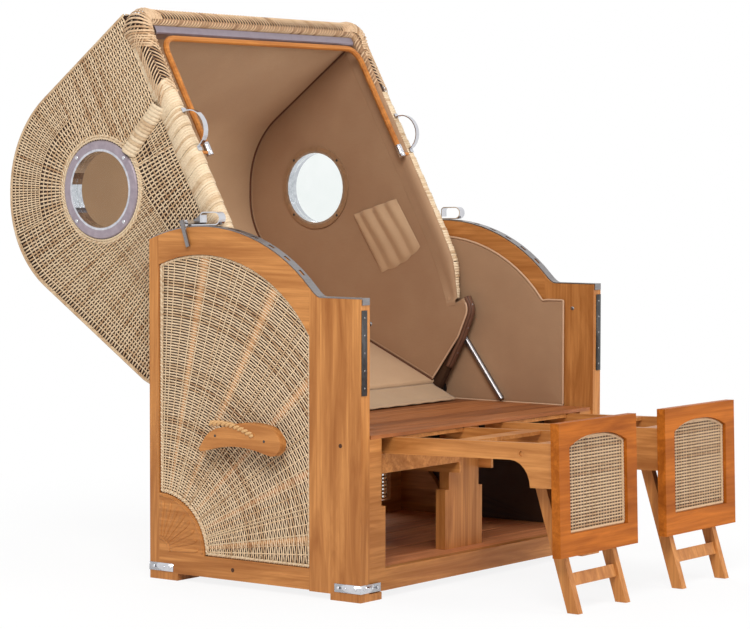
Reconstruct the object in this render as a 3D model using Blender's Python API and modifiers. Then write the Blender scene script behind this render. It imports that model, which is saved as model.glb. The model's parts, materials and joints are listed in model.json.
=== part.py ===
"""A hooded beach chair: a slatted two-seat box under a tilting wicker hood.

Metres, +Z up, the sitter faces -Y. The floor is z = 0 and x = 0 is the plane of symmetry.
The hood is shown reclined and both footrests are shown pulled out, on their folding legs.
"""
import bpy
import bmesh
from math import acos, asin, atan2, cos, hypot, pi, radians, sin, sqrt, tan
from mathutils import Vector

# Fits
GAP = 0.0003              # between pieces that touch
RUN = 0.0003              # round a pin that turns
SLACK = 0.005             # round the free end of each gas spring

# The box
BASE_WIDTH = 1.200
BASE_DEPTH = 0.757
POST_HEIGHT = 0.820
PANEL_THICK = 0.040
POST_REACH = 0.382        # post's rear edge, ahead of the hood's axis
STILE_WIDTH = 0.035
FOOT_HEIGHT = 0.020
FOOT_LENGTH = 0.103
FOOT_WIDTH = 0.095
FOOT_TUCK = 0.003         # overlap of each foot with the board it is part of
BOTTOM_RAIL_HEIGHT = 0.059
SUN_RADIUS = 0.168        # the carved quarter round in the lower rear corner
ARCH_RADIUS = 0.527       # top of each side, struck from the hood's axis
ARCH_DEPTH = 0.078
ARCH_FLARE = 0.034        # hollow curve from the arch down to the post
WEAVE_THICK = 0.014
WEAVE_RECESS = 0.008
LINING_THICK = 0.010
LINING_MARGIN = 0.050     # wood left showing above the lining
LINING_FRONT = 0.102      # wood left showing in front of it
DECK_TOP = 0.449
DECK_THICK = 0.010
PLANK_COUNT = 7
GROOVE = 0.004
FLOOR_TOP = 0.080
FLOOR_THICK = 0.018
FRONT_SETBACK = 0.0065
FRONT_THICK = 0.027
FRONT_STILE = 0.062
CLEAT_WIDTH = 0.018
CLEAT_TOP = 0.252
FRONT_RAIL_TOP = 0.080
CENTRE_POST_WIDTH = 0.148
CENTRE_POST_THICK = 0.033
CENTRE_POST_SETBACK = 0.083
REAR_THICK = 0.028
REAR_TOP = 0.488
REAR_MEMBER = 0.055
REAR_WEAVE_THICK = 0.010

# The hood's axis and the hood, drawn upright from that axis
AXIS_FROM_REAR = 0.1985
AXIS_OVER_DECK = 0.031
RECLINE = radians(28.5)
HOOD_WIDTH = 1.044
WALL_THICK = 0.022
SHELL_THICK = 0.020
HOOD_LINING = 0.008
EDGE_RADIUS = 0.028       # rattan roll round the mouth
EDGE_STAND = 0.014        # how far the roll stands outside the walls
EDGE_Y = -0.250
EDGE_TOP = 1.140
EDGE_FOOT_Y = -0.226
EDGE_FOOT_Z = 0.212
EDGE_CORNER = 0.040
EDGE_BEND_TOP = 0.450     # below this the roll leans back
ROOF_SLOPE = 0.147        # fall of the roof per metre towards the rear
ROOF_LEVEL = 1.136        # roof height over the axis
SHOULDER_Y = 0.4265       # the shell's shoulder, between roof and back
SHOULDER_Z = 0.9345
SHOULDER_FALL = radians(61)
BACK_LEAN = 0.531         # run of the back per metre of rise
BACK_FOOT_Y = 0.215
BACK_FOOT_Z = 0.209
CROWN_RADIUS = 0.345      # bend from the roof into the shoulder
NAPE_RADIUS = 0.310       # bend from the shoulder into the back
SHELL_END = 0.055         # how far the shell stops short of the axis lobe
LOBE_RADIUS = 0.028
CHIN_Y = -0.258
CHIN_TOP = 0.196
CHIN_LOW_Y = -0.180
CHIN_LOW_Z = 0.088
ROOF_PAD = 0.050          # how far the padded lining's face stands off the shell
SHOULDER_PAD = 0.070
BACK_PAD = 0.056
PAD_THICK = 0.024
LIP_Y = -0.022            # lower front edge of the padded back
LIP_Z = 0.020
LIP_DEPTH = 0.022
PORT_Y = 0.100
PORT_Z = 0.768
PORT_OPENING = 0.112
PORT_WALL = 0.006
PORT_FLANGE = 0.144
PORT_INNER_FLANGE = 0.132
PORT_FLANGE_THICK = 0.006
GLASS_THICK = 0.005
PIVOT_RADIUS = 0.008
PIVOT_FLANGE = 0.025
PIVOT_FLANGE_THICK = 0.005
CASSETTE_HEIGHT = 0.028
CASSETTE_DEPTH = 0.034
BOW_RADIUS = 0.009
BOW_Y = -0.270
BOW_AXIS_Z = 0.690
BOW_GAP = 0.009           # between each arm and the roll beside it
BOW_DROP = 0.008          # between the bow and the cassette over it
BOW_PIN_RADIUS = 0.005
BOW_PIN_DEPTH = 0.016
LOOP_WIDTH = 0.016
STRAP_THICK = 0.003
LOOP_FOOT_LOW = 0.705
LOOP_FOOT_HIGH = 0.815
LOOP_REACH = 0.052
LOOP_FOOT = 0.014
POCKET_TOP = 0.585
POCKET_BOTTOM = 0.410
POCKET_FRONT = -0.168
POCKET_REAR = 0.005
POCKET_BULGE = 0.020
POCKET_FOLDS = 5
POCKET_FOLD_DEPTH = 0.004

# Latches
RAIL_THICK = 0.003
RAIL_WIDTH = 0.032
RAIL_SLOTS = 9
SLOT_LENGTH = 0.022
SLOT_WIDTH = 0.010
RAIL_DROP = 0.016
LATCH_ANGLE = radians(111.5)
LATCH_LIFT = 0.0105       # latch pin above the rail
LATCH_PIN_RADIUS = 0.004
LATCH_KNUCKLE = 0.0085
LATCH_REACH = 0.105
LATCH_LOOP_RADIUS = 0.019
LATCH_LOOP_RUN = 0.042
LATCH_LOOP_BEND = 0.012
LATCH_LOOP_MOUTH = 0.005   # left open where the loop comes back to the strap
LATCH_PLATE = 0.060
LATCH_PLATE_THICK = 0.006
FINGER_LENGTH = 0.070
FINGER_WIDTH = 0.012
FINGER_GAP = 0.006

# Gas springs
SPRING_FOOT_AHEAD = 0.235 # foot, ahead of the hood's axis
SPRING_FOOT_DROP = 0.014
SPRING_HEAD_BEHIND = 0.062 # head, from the axis of the reclined hood
SPRING_HEAD_RISE = 0.384
SPRING_BARREL = 0.009
SPRING_BARREL_LENGTH = 0.265
SPRING_ROD = 0.0045
SPRING_STROKE = 0.110
SPRING_ENGAGED = 0.030    # rod left inside the barrel at full length
SPRING_PIN = 0.004

# The flap between the hood's lip and the seat
FLAP_LENGTH = 0.100
FLAP_RADIUS = 0.005
FLAP_WIDTH = 0.960

# Carry handles
HANDLE_LENGTH = 0.304
HANDLE_Y = 0.007
HANDLE_Z = 0.395
HANDLE_THICK = 0.026
HANDLE_STANDOFF = 0.030
HANDLE_BOSS_RISE = 0.026
HANDLE_BOSS = 0.014
HANDLE_BOSS_SPACING = 0.190

# Footrests
REST_TILT = radians(1.5)
REST_X = 0.268
REST_SETBACK = 0.0185     # from the front of the box to the frame's origin
REST_DROP = 0.0015        # between the frame and the deck over it
REST_WIDTH = 0.360
REST_LENGTH = 0.536
REST_TAIL = 0.052
SIDE_BOARD_HEIGHT = 0.046
SIDE_BOARD_THICK = 0.020
SLAT_THICK = 0.011
SLAT_WIDTH = 0.062
SLAT_COUNT = 3
GUSSET_DEPTH = 0.072
GUSSET_LENGTH = 0.075
GUSSET_CURVE = 0.062
CROSSBAR_DEPTH = 0.056
CROSSBAR_THICK = 0.025
CROSSBAR_OUTER = 0.222
CROSSBAR_INNER = 0.190
FRONT_WIDTH = 0.3846
FRONT_TOP = 0.078
FRONT_BOTTOM = -0.276
FRONT_PANEL_THICK = 0.026
FRONT_STILE_WIDTH = 0.050
FRONT_SILL = 0.060
FRONT_HEAD = 0.066
FRONT_ARCH = 0.028
FRONT_WEAVE_THICK = 0.008
FRONT_WEAVE_INSET = 0.004
LEG_AXIS_Y = -0.435
LEG_AXIS_Z = -0.006
LEG_LEAN = radians(17.5)
LEG_WIDTH = 0.033
LEG_THICK = 0.022
LEG_SPAN = 0.260
LEG_DOWEL = 0.007
LEG_RAIL_DEPTH = 0.034
LEG_RAIL_THICK = 0.018
LEG_RAIL_HEIGHT = 0.084
LEG_CLEARANCE = 0.001
RUNNER_THICK = 0.030
RUNNER_OUTER = 0.075
RUNNER_INNER = 0.0103
RUNNER_REAR = 0.055

HALF = BASE_WIDTH / 2
FRONT = -BASE_DEPTH / 2
REAR = BASE_DEPTH / 2
INNER = HALF - PANEL_THICK
HOOD_HALF = HOOD_WIDTH / 2
WALL_INNER = HOOD_HALF - WALL_THICK
STILE_FRONT = REAR - STILE_WIDTH
BOTTOM_RAIL_TOP = FOOT_HEIGHT + BOTTOM_RAIL_HEIGHT
ARCH_INNER = ARCH_RADIUS - ARCH_DEPTH
LINING_FACE = INNER - GAP - LINING_THICK
DECK_BOTTOM = DECK_TOP - DECK_THICK
AXIS_Y = REAR - AXIS_FROM_REAR
POST_REAR = AXIS_Y - POST_REACH
AXIS_Z = DECK_TOP + AXIS_OVER_DECK
SPRING_FOOT_Y = AXIS_Y - SPRING_FOOT_AHEAD
SPRING_FOOT_Z = AXIS_Z - SPRING_FOOT_DROP
SPRING_HEAD_Y = AXIS_Y + SPRING_HEAD_BEHIND
SPRING_HEAD_Z = AXIS_Z + SPRING_HEAD_RISE
REST_Y = FRONT + REST_SETBACK
REST_Z = DECK_BOTTOM - REST_DROP - SIDE_BOARD_HEIGHT / 2

SIDES = (("left", -1), ("right", 1))

for old in list(bpy.data.objects):
    bpy.data.objects.remove(old, do_unlink=True)
chair = bpy.data.collections.new("hooded_beach_chair")
tools = bpy.data.collections.new("cutters")
bpy.context.scene.collection.children.link(chair)
bpy.context.scene.collection.children.link(tools)
origin = bpy.data.objects.new("row_origin", None)
chair.objects.link(origin)


def material(name, colour, roughness, metallic=0.0):
    made = bpy.data.materials.new(name)
    made.use_nodes = True
    shader = made.node_tree.nodes["Principled BSDF"]
    shader.inputs["Base Color"].default_value = (*colour, 1.0)
    shader.inputs["Roughness"].default_value = roughness
    shader.inputs["Metallic"].default_value = metallic
    return made


WOOD = ("wood", (0.55, 0.24, 0.07), 0.45)
DARK_WOOD = ("dark_wood", (0.36, 0.15, 0.05), 0.5)
RATTAN = ("rattan", (0.66, 0.50, 0.28), 0.6)
FABRIC = ("fabric", (0.36, 0.26, 0.17), 0.85)
PALE_FABRIC = ("pale_fabric", (0.55, 0.46, 0.33), 0.85)
CHROME = ("chrome", (0.78, 0.78, 0.80), 0.15, 1.0)
STEEL = ("steel", (0.55, 0.54, 0.53), 0.3, 1.0)
ALUMINIUM = ("aluminium", (0.66, 0.63, 0.68), 0.35, 1.0)
GLASS = ("glass", (0.9, 0.92, 0.92), 0.05)
BLACK = ("black_cord", (0.02, 0.02, 0.02), 0.7)


def finish(obj, look, parent=None, smooth=None):
    obj.data.materials.clear()
    obj.data.materials.append(material(obj.name + "_" + look[0], *look[1:]))
    chair.objects.link(obj)
    obj.parent = parent or origin
    if smooth is not None:
        obj.data.shade_smooth()
        obj.data.set_sharp_from_angle(angle=smooth)
    return obj


def frame(name, location, tilt=0.0, parent=None):
    empty = bpy.data.objects.new(name, None)
    empty.location = location
    empty.rotation_euler = (tilt, 0.0, 0.0)
    empty.parent = parent or origin
    chair.objects.link(empty)
    return empty


def curve_mesh(name, curve):
    """The welded mesh of a curve, which then takes cuts."""
    source = bpy.data.objects.new(name, curve)
    tools.objects.link(source)
    bpy.context.view_layer.update()
    evaluated = source.evaluated_get(bpy.context.evaluated_depsgraph_get())
    mesh = bpy.data.meshes.new_from_object(evaluated)
    mesh.name = name
    bpy.data.objects.remove(source, do_unlink=True)
    bpy.data.curves.remove(curve)
    shape = bmesh.new()
    shape.from_mesh(mesh)
    bmesh.ops.remove_doubles(shape, verts=shape.verts, dist=0.00001)
    bmesh.ops.recalc_face_normals(shape, faces=shape.faces)
    shape.to_mesh(mesh)
    shape.free()
    return mesh


def add_spline(curve, points, cyclic):
    spline = curve.splines.new("POLY")
    spline.points.add(len(points) - 1)
    for point, place in zip(spline.points, points):
        point.co = (*place, 1.0)
    spline.use_cyclic_u = cyclic


def plate_mesh(name, outline, thickness, holes=()):
    curve = bpy.data.curves.new(name, "CURVE")
    curve.dimensions = "2D"
    curve.fill_mode = "BOTH"
    curve.extrude = thickness / 2
    for ring in (outline, *holes):
        add_spline(curve, [(a, b, 0.0) for a, b in ring], True)
    return curve_mesh(name, curve)


FACING = {"x": (pi / 2, 0.0, pi / 2), "y": (pi / 2, 0.0, 0.0), "z": (0.0, 0.0, 0.0)}


def plate(name, facing, outline, low, high, holes=()):
    """A flat piece from low to high along one axis; y faces take (x, z), x faces (y, z)."""
    obj = bpy.data.objects.new(name, plate_mesh(name, outline, abs(high - low), holes))
    obj.rotation_euler = FACING[facing]
    obj.location["xyz".index(facing)] = (low + high) / 2
    return obj


def tube_mesh(name, points, radius, resolution=3):
    curve = bpy.data.curves.new(name, "CURVE")
    curve.dimensions = "3D"
    curve.bevel_depth = radius
    curve.bevel_resolution = resolution
    curve.use_fill_caps = True
    add_spline(curve, points, False)
    return curve_mesh(name, curve)


def tube(name, points, radius, resolution=3):
    return bpy.data.objects.new(name, tube_mesh(name, points, radius, resolution))


def rod(name, start, end, radius, sides=20):
    """A straight round bar between two points."""
    start, end = Vector(start), Vector(end)
    mesh = bpy.data.meshes.new(name)
    shape = bmesh.new()
    bmesh.ops.create_cone(shape, cap_ends=True, segments=sides, radius1=radius, radius2=radius,
                          depth=(end - start).length)
    shape.to_mesh(mesh)
    shape.free()
    obj = bpy.data.objects.new(name, mesh)
    obj.location = (start + end) / 2
    obj.rotation_euler = (end - start).to_track_quat("Z", "Y").to_euler()
    return obj


def block(name, low, high):
    mesh = bpy.data.meshes.new(name)
    shape = bmesh.new()
    bmesh.ops.create_cube(shape, size=1.0)
    size = [b - a for a, b in zip(low, high)]
    bmesh.ops.scale(shape, vec=size, verts=shape.verts)
    shape.to_mesh(mesh)
    shape.free()
    obj = bpy.data.objects.new(name, mesh)
    obj.location = [(a + b) / 2 for a, b in zip(low, high)]
    return obj


def combine(obj, tool, operation, parent=None):
    tools.objects.link(tool)
    tool.parent = parent or origin
    tool.hide_render = True
    tool.display_type = "WIRE"
    modifier = obj.modifiers.new(operation.lower() + "_" + tool.name, "BOOLEAN")
    modifier.operation = operation
    modifier.solver = "EXACT"
    modifier.object = tool


def soften(obj, width, segments=1):
    modifier = obj.modifiers.new("eased_edges", "BEVEL")
    modifier.width = width
    modifier.segments = segments
    modifier.limit_method = "ANGLE"
    modifier.angle_limit = radians(50)


def arc(centre, radius, first, last, steps):
    return [(centre[0] + radius * cos(first + (last - first) * i / steps),
             centre[1] + radius * sin(first + (last - first) * i / steps)) for i in range(steps + 1)]


def rounded(corners, steps=5, closed=True):
    """Corner points (a, b, radius) joined by straight runs and tangent arcs."""
    points = []
    count = len(corners)
    for i, (a, b, radius) in enumerate(corners):
        ends = not closed and i in (0, count - 1)
        if radius == 0 or ends:
            points.append((a, b))
            continue
        here = Vector((a, b))
        back = (Vector(corners[i - 1][:2]) - here).normalized()
        ahead = (Vector(corners[(i + 1) % count][:2]) - here).normalized()
        half = back.angle(ahead) / 2
        centre = here + (back + ahead).normalized() * radius / sin(half)
        first = here + back * radius / tan(half) - centre
        last = here + ahead * radius / tan(half) - centre
        start = atan2(first.y, first.x)
        turn = (atan2(last.y, last.x) - start + pi) % (2 * pi) - pi
        points += arc(centre, radius, start, start + turn, steps)
    return points


def offset(path, distance):
    """An open path moved sideways, to its left for a positive distance."""
    moved = []
    for i, point in enumerate(path):
        before = Vector(path[max(i - 1, 0)])
        after = Vector(path[min(i + 1, len(path) - 1)])
        here = Vector(point)
        normals = []
        for run in (here - before, after - here):
            if run.length > 0:
                normals.append(Vector((-run.y, run.x)).normalized())
        mean = sum(normals, Vector((0.0, 0.0))).normalized()
        moved.append(tuple(here + mean * distance / mean.dot(normals[0])))
    return moved


def band(path, near, far):
    """The closed outline between two offsets of one path."""
    return offset(path, near) + offset(path, far)[::-1]


def ring(centre, radius, sides=32):
    return arc(centre, radius, 0.0, 2 * pi * (sides - 1) / sides, sides - 1)


def spread(side, near, far):
    """Low and high x of a piece on one side, from its distances to the middle."""
    return tuple(sorted((side * near, side * far)))


def smooth_route(knots, per_span):
    """Points on a smooth curve through the knots."""
    points = []
    ends = [2 * Vector(knots[0]) - Vector(knots[1])] + [Vector(k) for k in knots]
    ends.append(2 * Vector(knots[-1]) - Vector(knots[-2]))
    for i in range(1, len(ends) - 2):
        a, b, c, d = ends[i - 1:i + 3]
        for step in range(per_span):
            t = step / per_span
            points.append(tuple(0.5 * (2 * b + (c - a) * t + (2 * a - 5 * b + 4 * c - d) * t ** 2
                                       + (3 * b - a - 3 * c + d) * t ** 3)))
    points.append(tuple(knots[-1]))
    return points


# Side panels: four boards, a woven field, a fabric lining and a handle on each side

AXIS = (AXIS_Y, AXIS_Z)


def arch_angle(y, radius):
    return acos((y - AXIS_Y) / radius)


def arch_height(y, radius):
    return AXIS_Z + sqrt(radius ** 2 - (y - AXIS_Y) ** 2)


def flare_path(radius, top, y_front, steps=4):
    """The arch's outline from the post's rear edge, hollowed down to a level top."""
    y_start = POST_REAR - GAP
    start = (y_start, arch_height(y_start, radius))
    level = (y_start - ARCH_FLARE, top)
    bend = arch_angle(y_start, radius)
    slope = (-sin(bend), cos(bend))
    reach = (start[1] - top) / -slope[1] if slope[1] < 0 else 0.0
    corner = (start[0] + slope[0] * reach, top)
    hollow = []
    for i in range(steps + 1):
        t = i / steps
        hollow.append(tuple((1 - t) ** 2 * s + 2 * t * (1 - t) * c + t ** 2 * e
                            for s, c, e in zip(start, corner, level)))
    return hollow + [(y_front, top)]


def foot(name, side, y_low, y_high):
    x_low, x_high = spread(side, HALF - FOOT_WIDTH, HALF)
    return block(name, (x_low, y_low, 0.0), (x_high, y_high, FOOT_HEIGHT))


def side_frame(label, side):
    x_low, x_high = spread(side, INNER, HALF)
    stile_top = arc(AXIS, ARCH_RADIUS, arch_angle(STILE_FRONT + GAP, ARCH_RADIUS),
                    arch_angle(REAR, ARCH_RADIUS), 3)
    joint = FOOT_HEIGHT - FOOT_TUCK
    stile = [(REAR, joint), *stile_top[::-1], (STILE_FRONT + GAP, joint)]
    rear_stile = plate(label + "_rear_stile", "x", stile, x_low, x_high)
    combine(rear_stile, foot(label + "_rear_foot", side, REAR - FOOT_LENGTH, REAR), "UNION")
    finish(rear_stile, WOOD)

    post = flare_path(ARCH_RADIUS, POST_HEIGHT, FRONT) + [(FRONT, joint), (POST_REAR - GAP, joint)]
    front_post = plate(label + "_front_post", "x", post, x_low, x_high)
    combine(front_post, foot(label + "_front_foot", side, FRONT, FRONT + FOOT_LENGTH), "UNION")
    finish(front_post, WOOD)

    low, high = POST_REAR, STILE_FRONT
    sun = arc((high, BOTTOM_RAIL_TOP), SUN_RADIUS, pi / 2, pi, 10)
    rail = [(high, FOOT_HEIGHT + GAP), *sun, (low, BOTTOM_RAIL_TOP), (low, FOOT_HEIGHT + GAP)]
    finish(plate(label + "_bottom_rail", "x", rail, x_low, x_high), WOOD)

    outer = arc(AXIS, ARCH_RADIUS, arch_angle(high, ARCH_RADIUS), arch_angle(low, ARCH_RADIUS), 16)
    inner = arc(AXIS, ARCH_INNER, arch_angle(low, ARCH_INNER), arch_angle(high, ARCH_INNER), 16)
    finish(plate(label + "_arched_rail", "x", outer + inner, x_low, x_high), WOOD)


def field_outline():
    """The opening that the frame leaves, less a gap all round."""
    low, high = POST_REAR + GAP, STILE_FRONT - GAP
    radius = ARCH_INNER - GAP
    top = arc(AXIS, radius, arch_angle(high, radius), arch_angle(low, radius), 16)
    sun_radius = SUN_RADIUS + GAP
    rise = asin(GAP / sun_radius)
    sun = arc((STILE_FRONT, BOTTOM_RAIL_TOP), sun_radius, pi - rise, pi / 2 + rise, 10)
    return [*top, (low, BOTTOM_RAIL_TOP + GAP), *sun]


def lining_outline():
    radius = ARCH_RADIUS - LINING_MARGIN
    front = FRONT + LINING_FRONT
    top = arc(AXIS, radius, arch_angle(STILE_FRONT, radius), arch_angle(POST_REAR, radius), 14)
    flare = flare_path(radius, POST_HEIGHT - LINING_MARGIN, front)[1:]
    return [*top, *flare, (front, DECK_TOP + GAP), (STILE_FRONT, DECK_TOP + GAP)]


def side_fill(label, side):
    x_low, x_high = spread(side, HALF - WEAVE_RECESS - WEAVE_THICK, HALF - WEAVE_RECESS)
    finish(plate(label + "_fan_weave", "x", field_outline(), x_low, x_high), RATTAN)
    x_low, x_high = spread(side, LINING_FACE, INNER - GAP)
    pin_hole = ring((SPRING_FOOT_Y, SPRING_FOOT_Z), SPRING_PIN + RUN, 16)
    lining = plate(label + "_side_lining", "x", lining_outline(), x_low, x_high, [pin_hole])
    finish(lining, FABRIC)


def handle_outline():
    """A comma-shaped grip with its blunt end to the front and its point to the rear."""
    half = HANDLE_LENGTH / 2
    corners = ((-1.0, -0.105, 0.04), (-0.737, 0.309, 0.59), (0.164, 0.526, 1.64), (0.822, 0.447, 0.39),
               (1.026, 0.099, 0.197), (0.803, -0.092, 0.197), (-0.066, 0.112, 2.3))
    return rounded([(HANDLE_Y - half * a, HANDLE_Z + half * b, half * r) for a, b, r in corners], 5)


def carry_handle(label, side):
    face = HALF - WEAVE_RECESS + GAP
    x_low, x_high = spread(side, face + HANDLE_STANDOFF, face + HANDLE_STANDOFF + HANDLE_THICK)
    handle = plate(label + "_carry_handle", "x", handle_outline(), x_low, x_high)
    for end in (-1, 1):
        y = HANDLE_Y + end * HANDLE_BOSS_SPACING / 2
        z = HANDLE_Z + HANDLE_BOSS_RISE
        boss = rod("%s_boss_%s" % (label, "rear" if end > 0 else "front"), (side * face, y, z),
                   (side * (face + HANDLE_STANDOFF + HANDLE_THICK / 2), y, z), HANDLE_BOSS, 14)
        combine(handle, boss, "UNION")
    finish(handle, WOOD)


def latch_rail(label, side):
    middle = HALF - PANEL_THICK / 2
    x_low, x_high = spread(side, middle - RAIL_WIDTH / 2, middle + RAIL_WIDTH / 2)
    arch = arc(AXIS, ARCH_RADIUS, arch_angle(REAR, ARCH_RADIUS), arch_angle(POST_REAR, ARCH_RADIUS), 18)
    path = arch + flare_path(ARCH_RADIUS, POST_HEIGHT, FRONT)[1:]
    path.append((FRONT, POST_HEIGHT - RAIL_DROP))
    strip = plate(label + "_latch_rail", "x", band(path, -GAP, -GAP - RAIL_THICK), x_low, x_high)
    first, last = arch_angle(REAR - 0.03, ARCH_RADIUS), arch_angle(POST_REAR + 0.02, ARCH_RADIUS)
    for i in range(RAIL_SLOTS):
        turn = first + (last - first) * (i + 0.5) / RAIL_SLOTS
        slot = block("%s_slot_%d" % (label, i), (-SLOT_WIDTH / 2, -SLOT_LENGTH / 2, -RAIL_THICK * 3),
                     (SLOT_WIDTH / 2, SLOT_LENGTH / 2, RAIL_THICK * 3))
        slot.location = (side * middle, AXIS_Y + ARCH_RADIUS * cos(turn), AXIS_Z + ARCH_RADIUS * sin(turn))
        slot.rotation_euler = (turn - pi / 2, 0.0, 0.0)
        combine(strip, slot, "DIFFERENCE")
    finish(strip, STEEL)


for label, side in SIDES:
    side_frame(label, side)
    side_fill(label, side)
    carry_handle(label, side)
    latch_rail(label, side)


# The box between the side panels

def comb(low, high, bottom, top, count):
    """A row of planks as one section, with a groove between each two."""
    pitch = (high - low) / count
    section = [(high, bottom), (high, top)]
    for i in range(count - 1, 0, -1):
        edge = low + pitch * i
        section += [(edge + GROOVE / 2, top), (edge + GROOVE / 2, top - GROOVE),
                    (edge - GROOVE / 2, top - GROOVE), (edge - GROOVE / 2, top)]
    return section + [(low, top), (low, bottom)]


REAR_FACE = REAR - FRONT_SETBACK - REAR_THICK
FRONT_FACE = FRONT + FRONT_SETBACK
BOX_HALF = INNER - GAP

deck = plate("seat_deck", "x", comb(FRONT + GROOVE, REAR_FACE - GAP, DECK_BOTTOM, DECK_TOP, PLANK_COUNT),
             -(LINING_FACE - GAP), LINING_FACE - GAP)
finish(deck, WOOD)

floor = plate("floor_boards", "x", comb(FRONT_FACE + FRONT_THICK + GAP, REAR_FACE - GAP,
                                        FLOOR_TOP - FLOOR_THICK, FLOOR_TOP, PLANK_COUNT), -BOX_HALF, BOX_HALF)
finish(floor, DARK_WOOD)


def stepped(half, cleat, low, step, high):
    """Right-hand half of a stile or post that carries a low cleat."""
    return [(half + cleat, low), (half + cleat, step), (half, step), (half, high)]


stile_edge = BOX_HALF - FRONT_STILE
right_edge = [(stile_edge - CLEAT_WIDTH, FRONT_RAIL_TOP), (stile_edge - CLEAT_WIDTH, CLEAT_TOP),
              (stile_edge, CLEAT_TOP), (stile_edge, DECK_BOTTOM - GAP)]
outside = [(BOX_HALF, DECK_BOTTOM - GAP), (BOX_HALF, FOOT_HEIGHT + GAP)]
right_half = right_edge + outside
left_half = [(-x, z) for x, z in right_half[::-1]]
front_frame = plate("front_frame", "y", right_half + left_half, FRONT_FACE, FRONT_FACE + FRONT_THICK)
finish(front_frame, WOOD)

post_front = FRONT + CENTRE_POST_SETBACK
half_post = stepped(CENTRE_POST_WIDTH / 2, CLEAT_WIDTH, FLOOR_TOP + GAP, CLEAT_TOP, DECK_BOTTOM - GAP)
centre_post = plate("centre_post", "y", half_post + [(-x, z) for x, z in half_post[::-1]],
                    post_front, post_front + CENTRE_POST_THICK)
finish(centre_post, WOOD)

rear_low = FLOOR_TOP - FLOOR_THICK
window = [(BOX_HALF - REAR_MEMBER, rear_low + REAR_MEMBER), (BOX_HALF - REAR_MEMBER, REAR_TOP - REAR_MEMBER),
          (REAR_MEMBER - BOX_HALF, REAR_TOP - REAR_MEMBER), (REAR_MEMBER - BOX_HALF, rear_low + REAR_MEMBER)]
wall = [(BOX_HALF, rear_low), (BOX_HALF, REAR_TOP), (-BOX_HALF, REAR_TOP), (-BOX_HALF, rear_low)]
finish(plate("rear_frame", "y", wall, REAR_FACE, REAR_FACE + REAR_THICK, [window]), WOOD)
weave = [(x - GAP if x > 0 else x + GAP, z + GAP if z < AXIS_Z / 2 else z - GAP) for x, z in window]
weave_mid = REAR_FACE + REAR_THICK / 2
finish(plate("rear_weave", "y", weave, weave_mid - REAR_WEAVE_THICK / 2,
             weave_mid + REAR_WEAVE_THICK / 2), RATTAN)

# Hood: everything below is drawn upright, from an axis at the origin of its own frame

hood = frame("hood_axis", (0.0, AXIS_Y, AXIS_Z), -RECLINE)


def crossing(start_a, way_a, start_b, way_b):
    """Where two lines in the hood's side plane meet."""
    apart = start_b - start_a
    return start_a + way_a * apart.cross(way_b) / way_a.cross(way_b)


def hood_profile(roof_drop, shoulder_drop, back_drop, foot_z):
    """Corners of the hood's side outline with roof, shoulder and back each moved inwards."""
    roof_way = Vector((1.0, -ROOF_SLOPE)).normalized()
    shoulder_way = Vector((cos(SHOULDER_FALL), -sin(SHOULDER_FALL)))
    back_way = Vector((-BACK_LEAN, -1.0)).normalized()
    roof = Vector((0.0, ROOF_LEVEL)) + Vector((roof_way.y, -roof_way.x)) * roof_drop
    shoulder = Vector((SHOULDER_Y, SHOULDER_Z)) + Vector((shoulder_way.y, -shoulder_way.x)) * shoulder_drop
    back = Vector((BACK_FOOT_Y, BACK_FOOT_Z)) + Vector((back_way.y, -back_way.x)) * back_drop
    mouth = crossing(roof, roof_way, Vector((MOUTH_Y, 0.0)), Vector((0.0, 1.0)))
    foot = crossing(back, back_way, Vector((0.0, foot_z)), Vector((1.0, 0.0)))
    return [(*mouth, 0), (*crossing(roof, roof_way, shoulder, shoulder_way), CROWN_RADIUS - roof_drop),
            (*crossing(shoulder, shoulder_way, back, back_way), NAPE_RADIUS - back_drop), (*foot, 0.05)]


MOUTH_Y = EDGE_Y + EDGE_RADIUS + GAP
lobe_reach = hypot(BACK_FOOT_Y, BACK_FOOT_Z)
shell_foot = (SHELL_END + LOBE_RADIUS) / lobe_reach
SHELL_PATH = rounded([*hood_profile(0.0, 0.0, 0.0, BACK_FOOT_Z),
                      (BACK_FOOT_Y * shell_foot + 0.02, BACK_FOOT_Z * shell_foot - 0.02, 0)], 9, False)
inside = SHELL_THICK + GAP


def from_mouth(path, inset):
    """A hood path moved inwards that still starts level with the mouth."""
    moved = offset(path, -inset)
    (y_a, z_a), (y_b, z_b) = moved[:2]
    moved[0] = (MOUTH_Y, z_a + (z_b - z_a) * (MOUTH_Y - y_a) / (y_b - y_a))
    return moved


shell = SHELL_PATH + from_mouth(SHELL_PATH, SHELL_THICK)[::-1]
finish(plate("hood_back", "x", shell, -HOOD_HALF, HOOD_HALF), RATTAN, hood)


# The roll's side run, from where it starts to lean back down to its foot
LEAN_RUN = [(EDGE_Y + (EDGE_FOOT_Y - EDGE_Y) * t ** 2, EDGE_BEND_TOP + (EDGE_FOOT_Z - EDGE_BEND_TOP) * t)
            for t in (0.0, 0.35, 0.7, 1.0)]
WALL_FRONT = offset(LEAN_RUN, EDGE_RADIUS + GAP)[::-1]
WALL_FRONT.insert(0, (WALL_FRONT[0][0], CHIN_TOP))


def wall_outline(inset):
    """A hood side from the mouth over the roof and back to the lobe, then up the chin."""
    path = from_mouth(SHELL_PATH, inset)
    lobe = arc((0.0, 0.0), LOBE_RADIUS, radians(-35), radians(-155), 8)
    chin = rounded([(lobe[-1][0], lobe[-1][1], 0), (CHIN_LOW_Y, CHIN_LOW_Z, 0.03),
                    (CHIN_Y, CHIN_TOP - 0.045, 0.05), (CHIN_Y, CHIN_TOP, 0)], 5, False)
    return path + lobe + chin[1:] + WALL_FRONT


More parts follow.
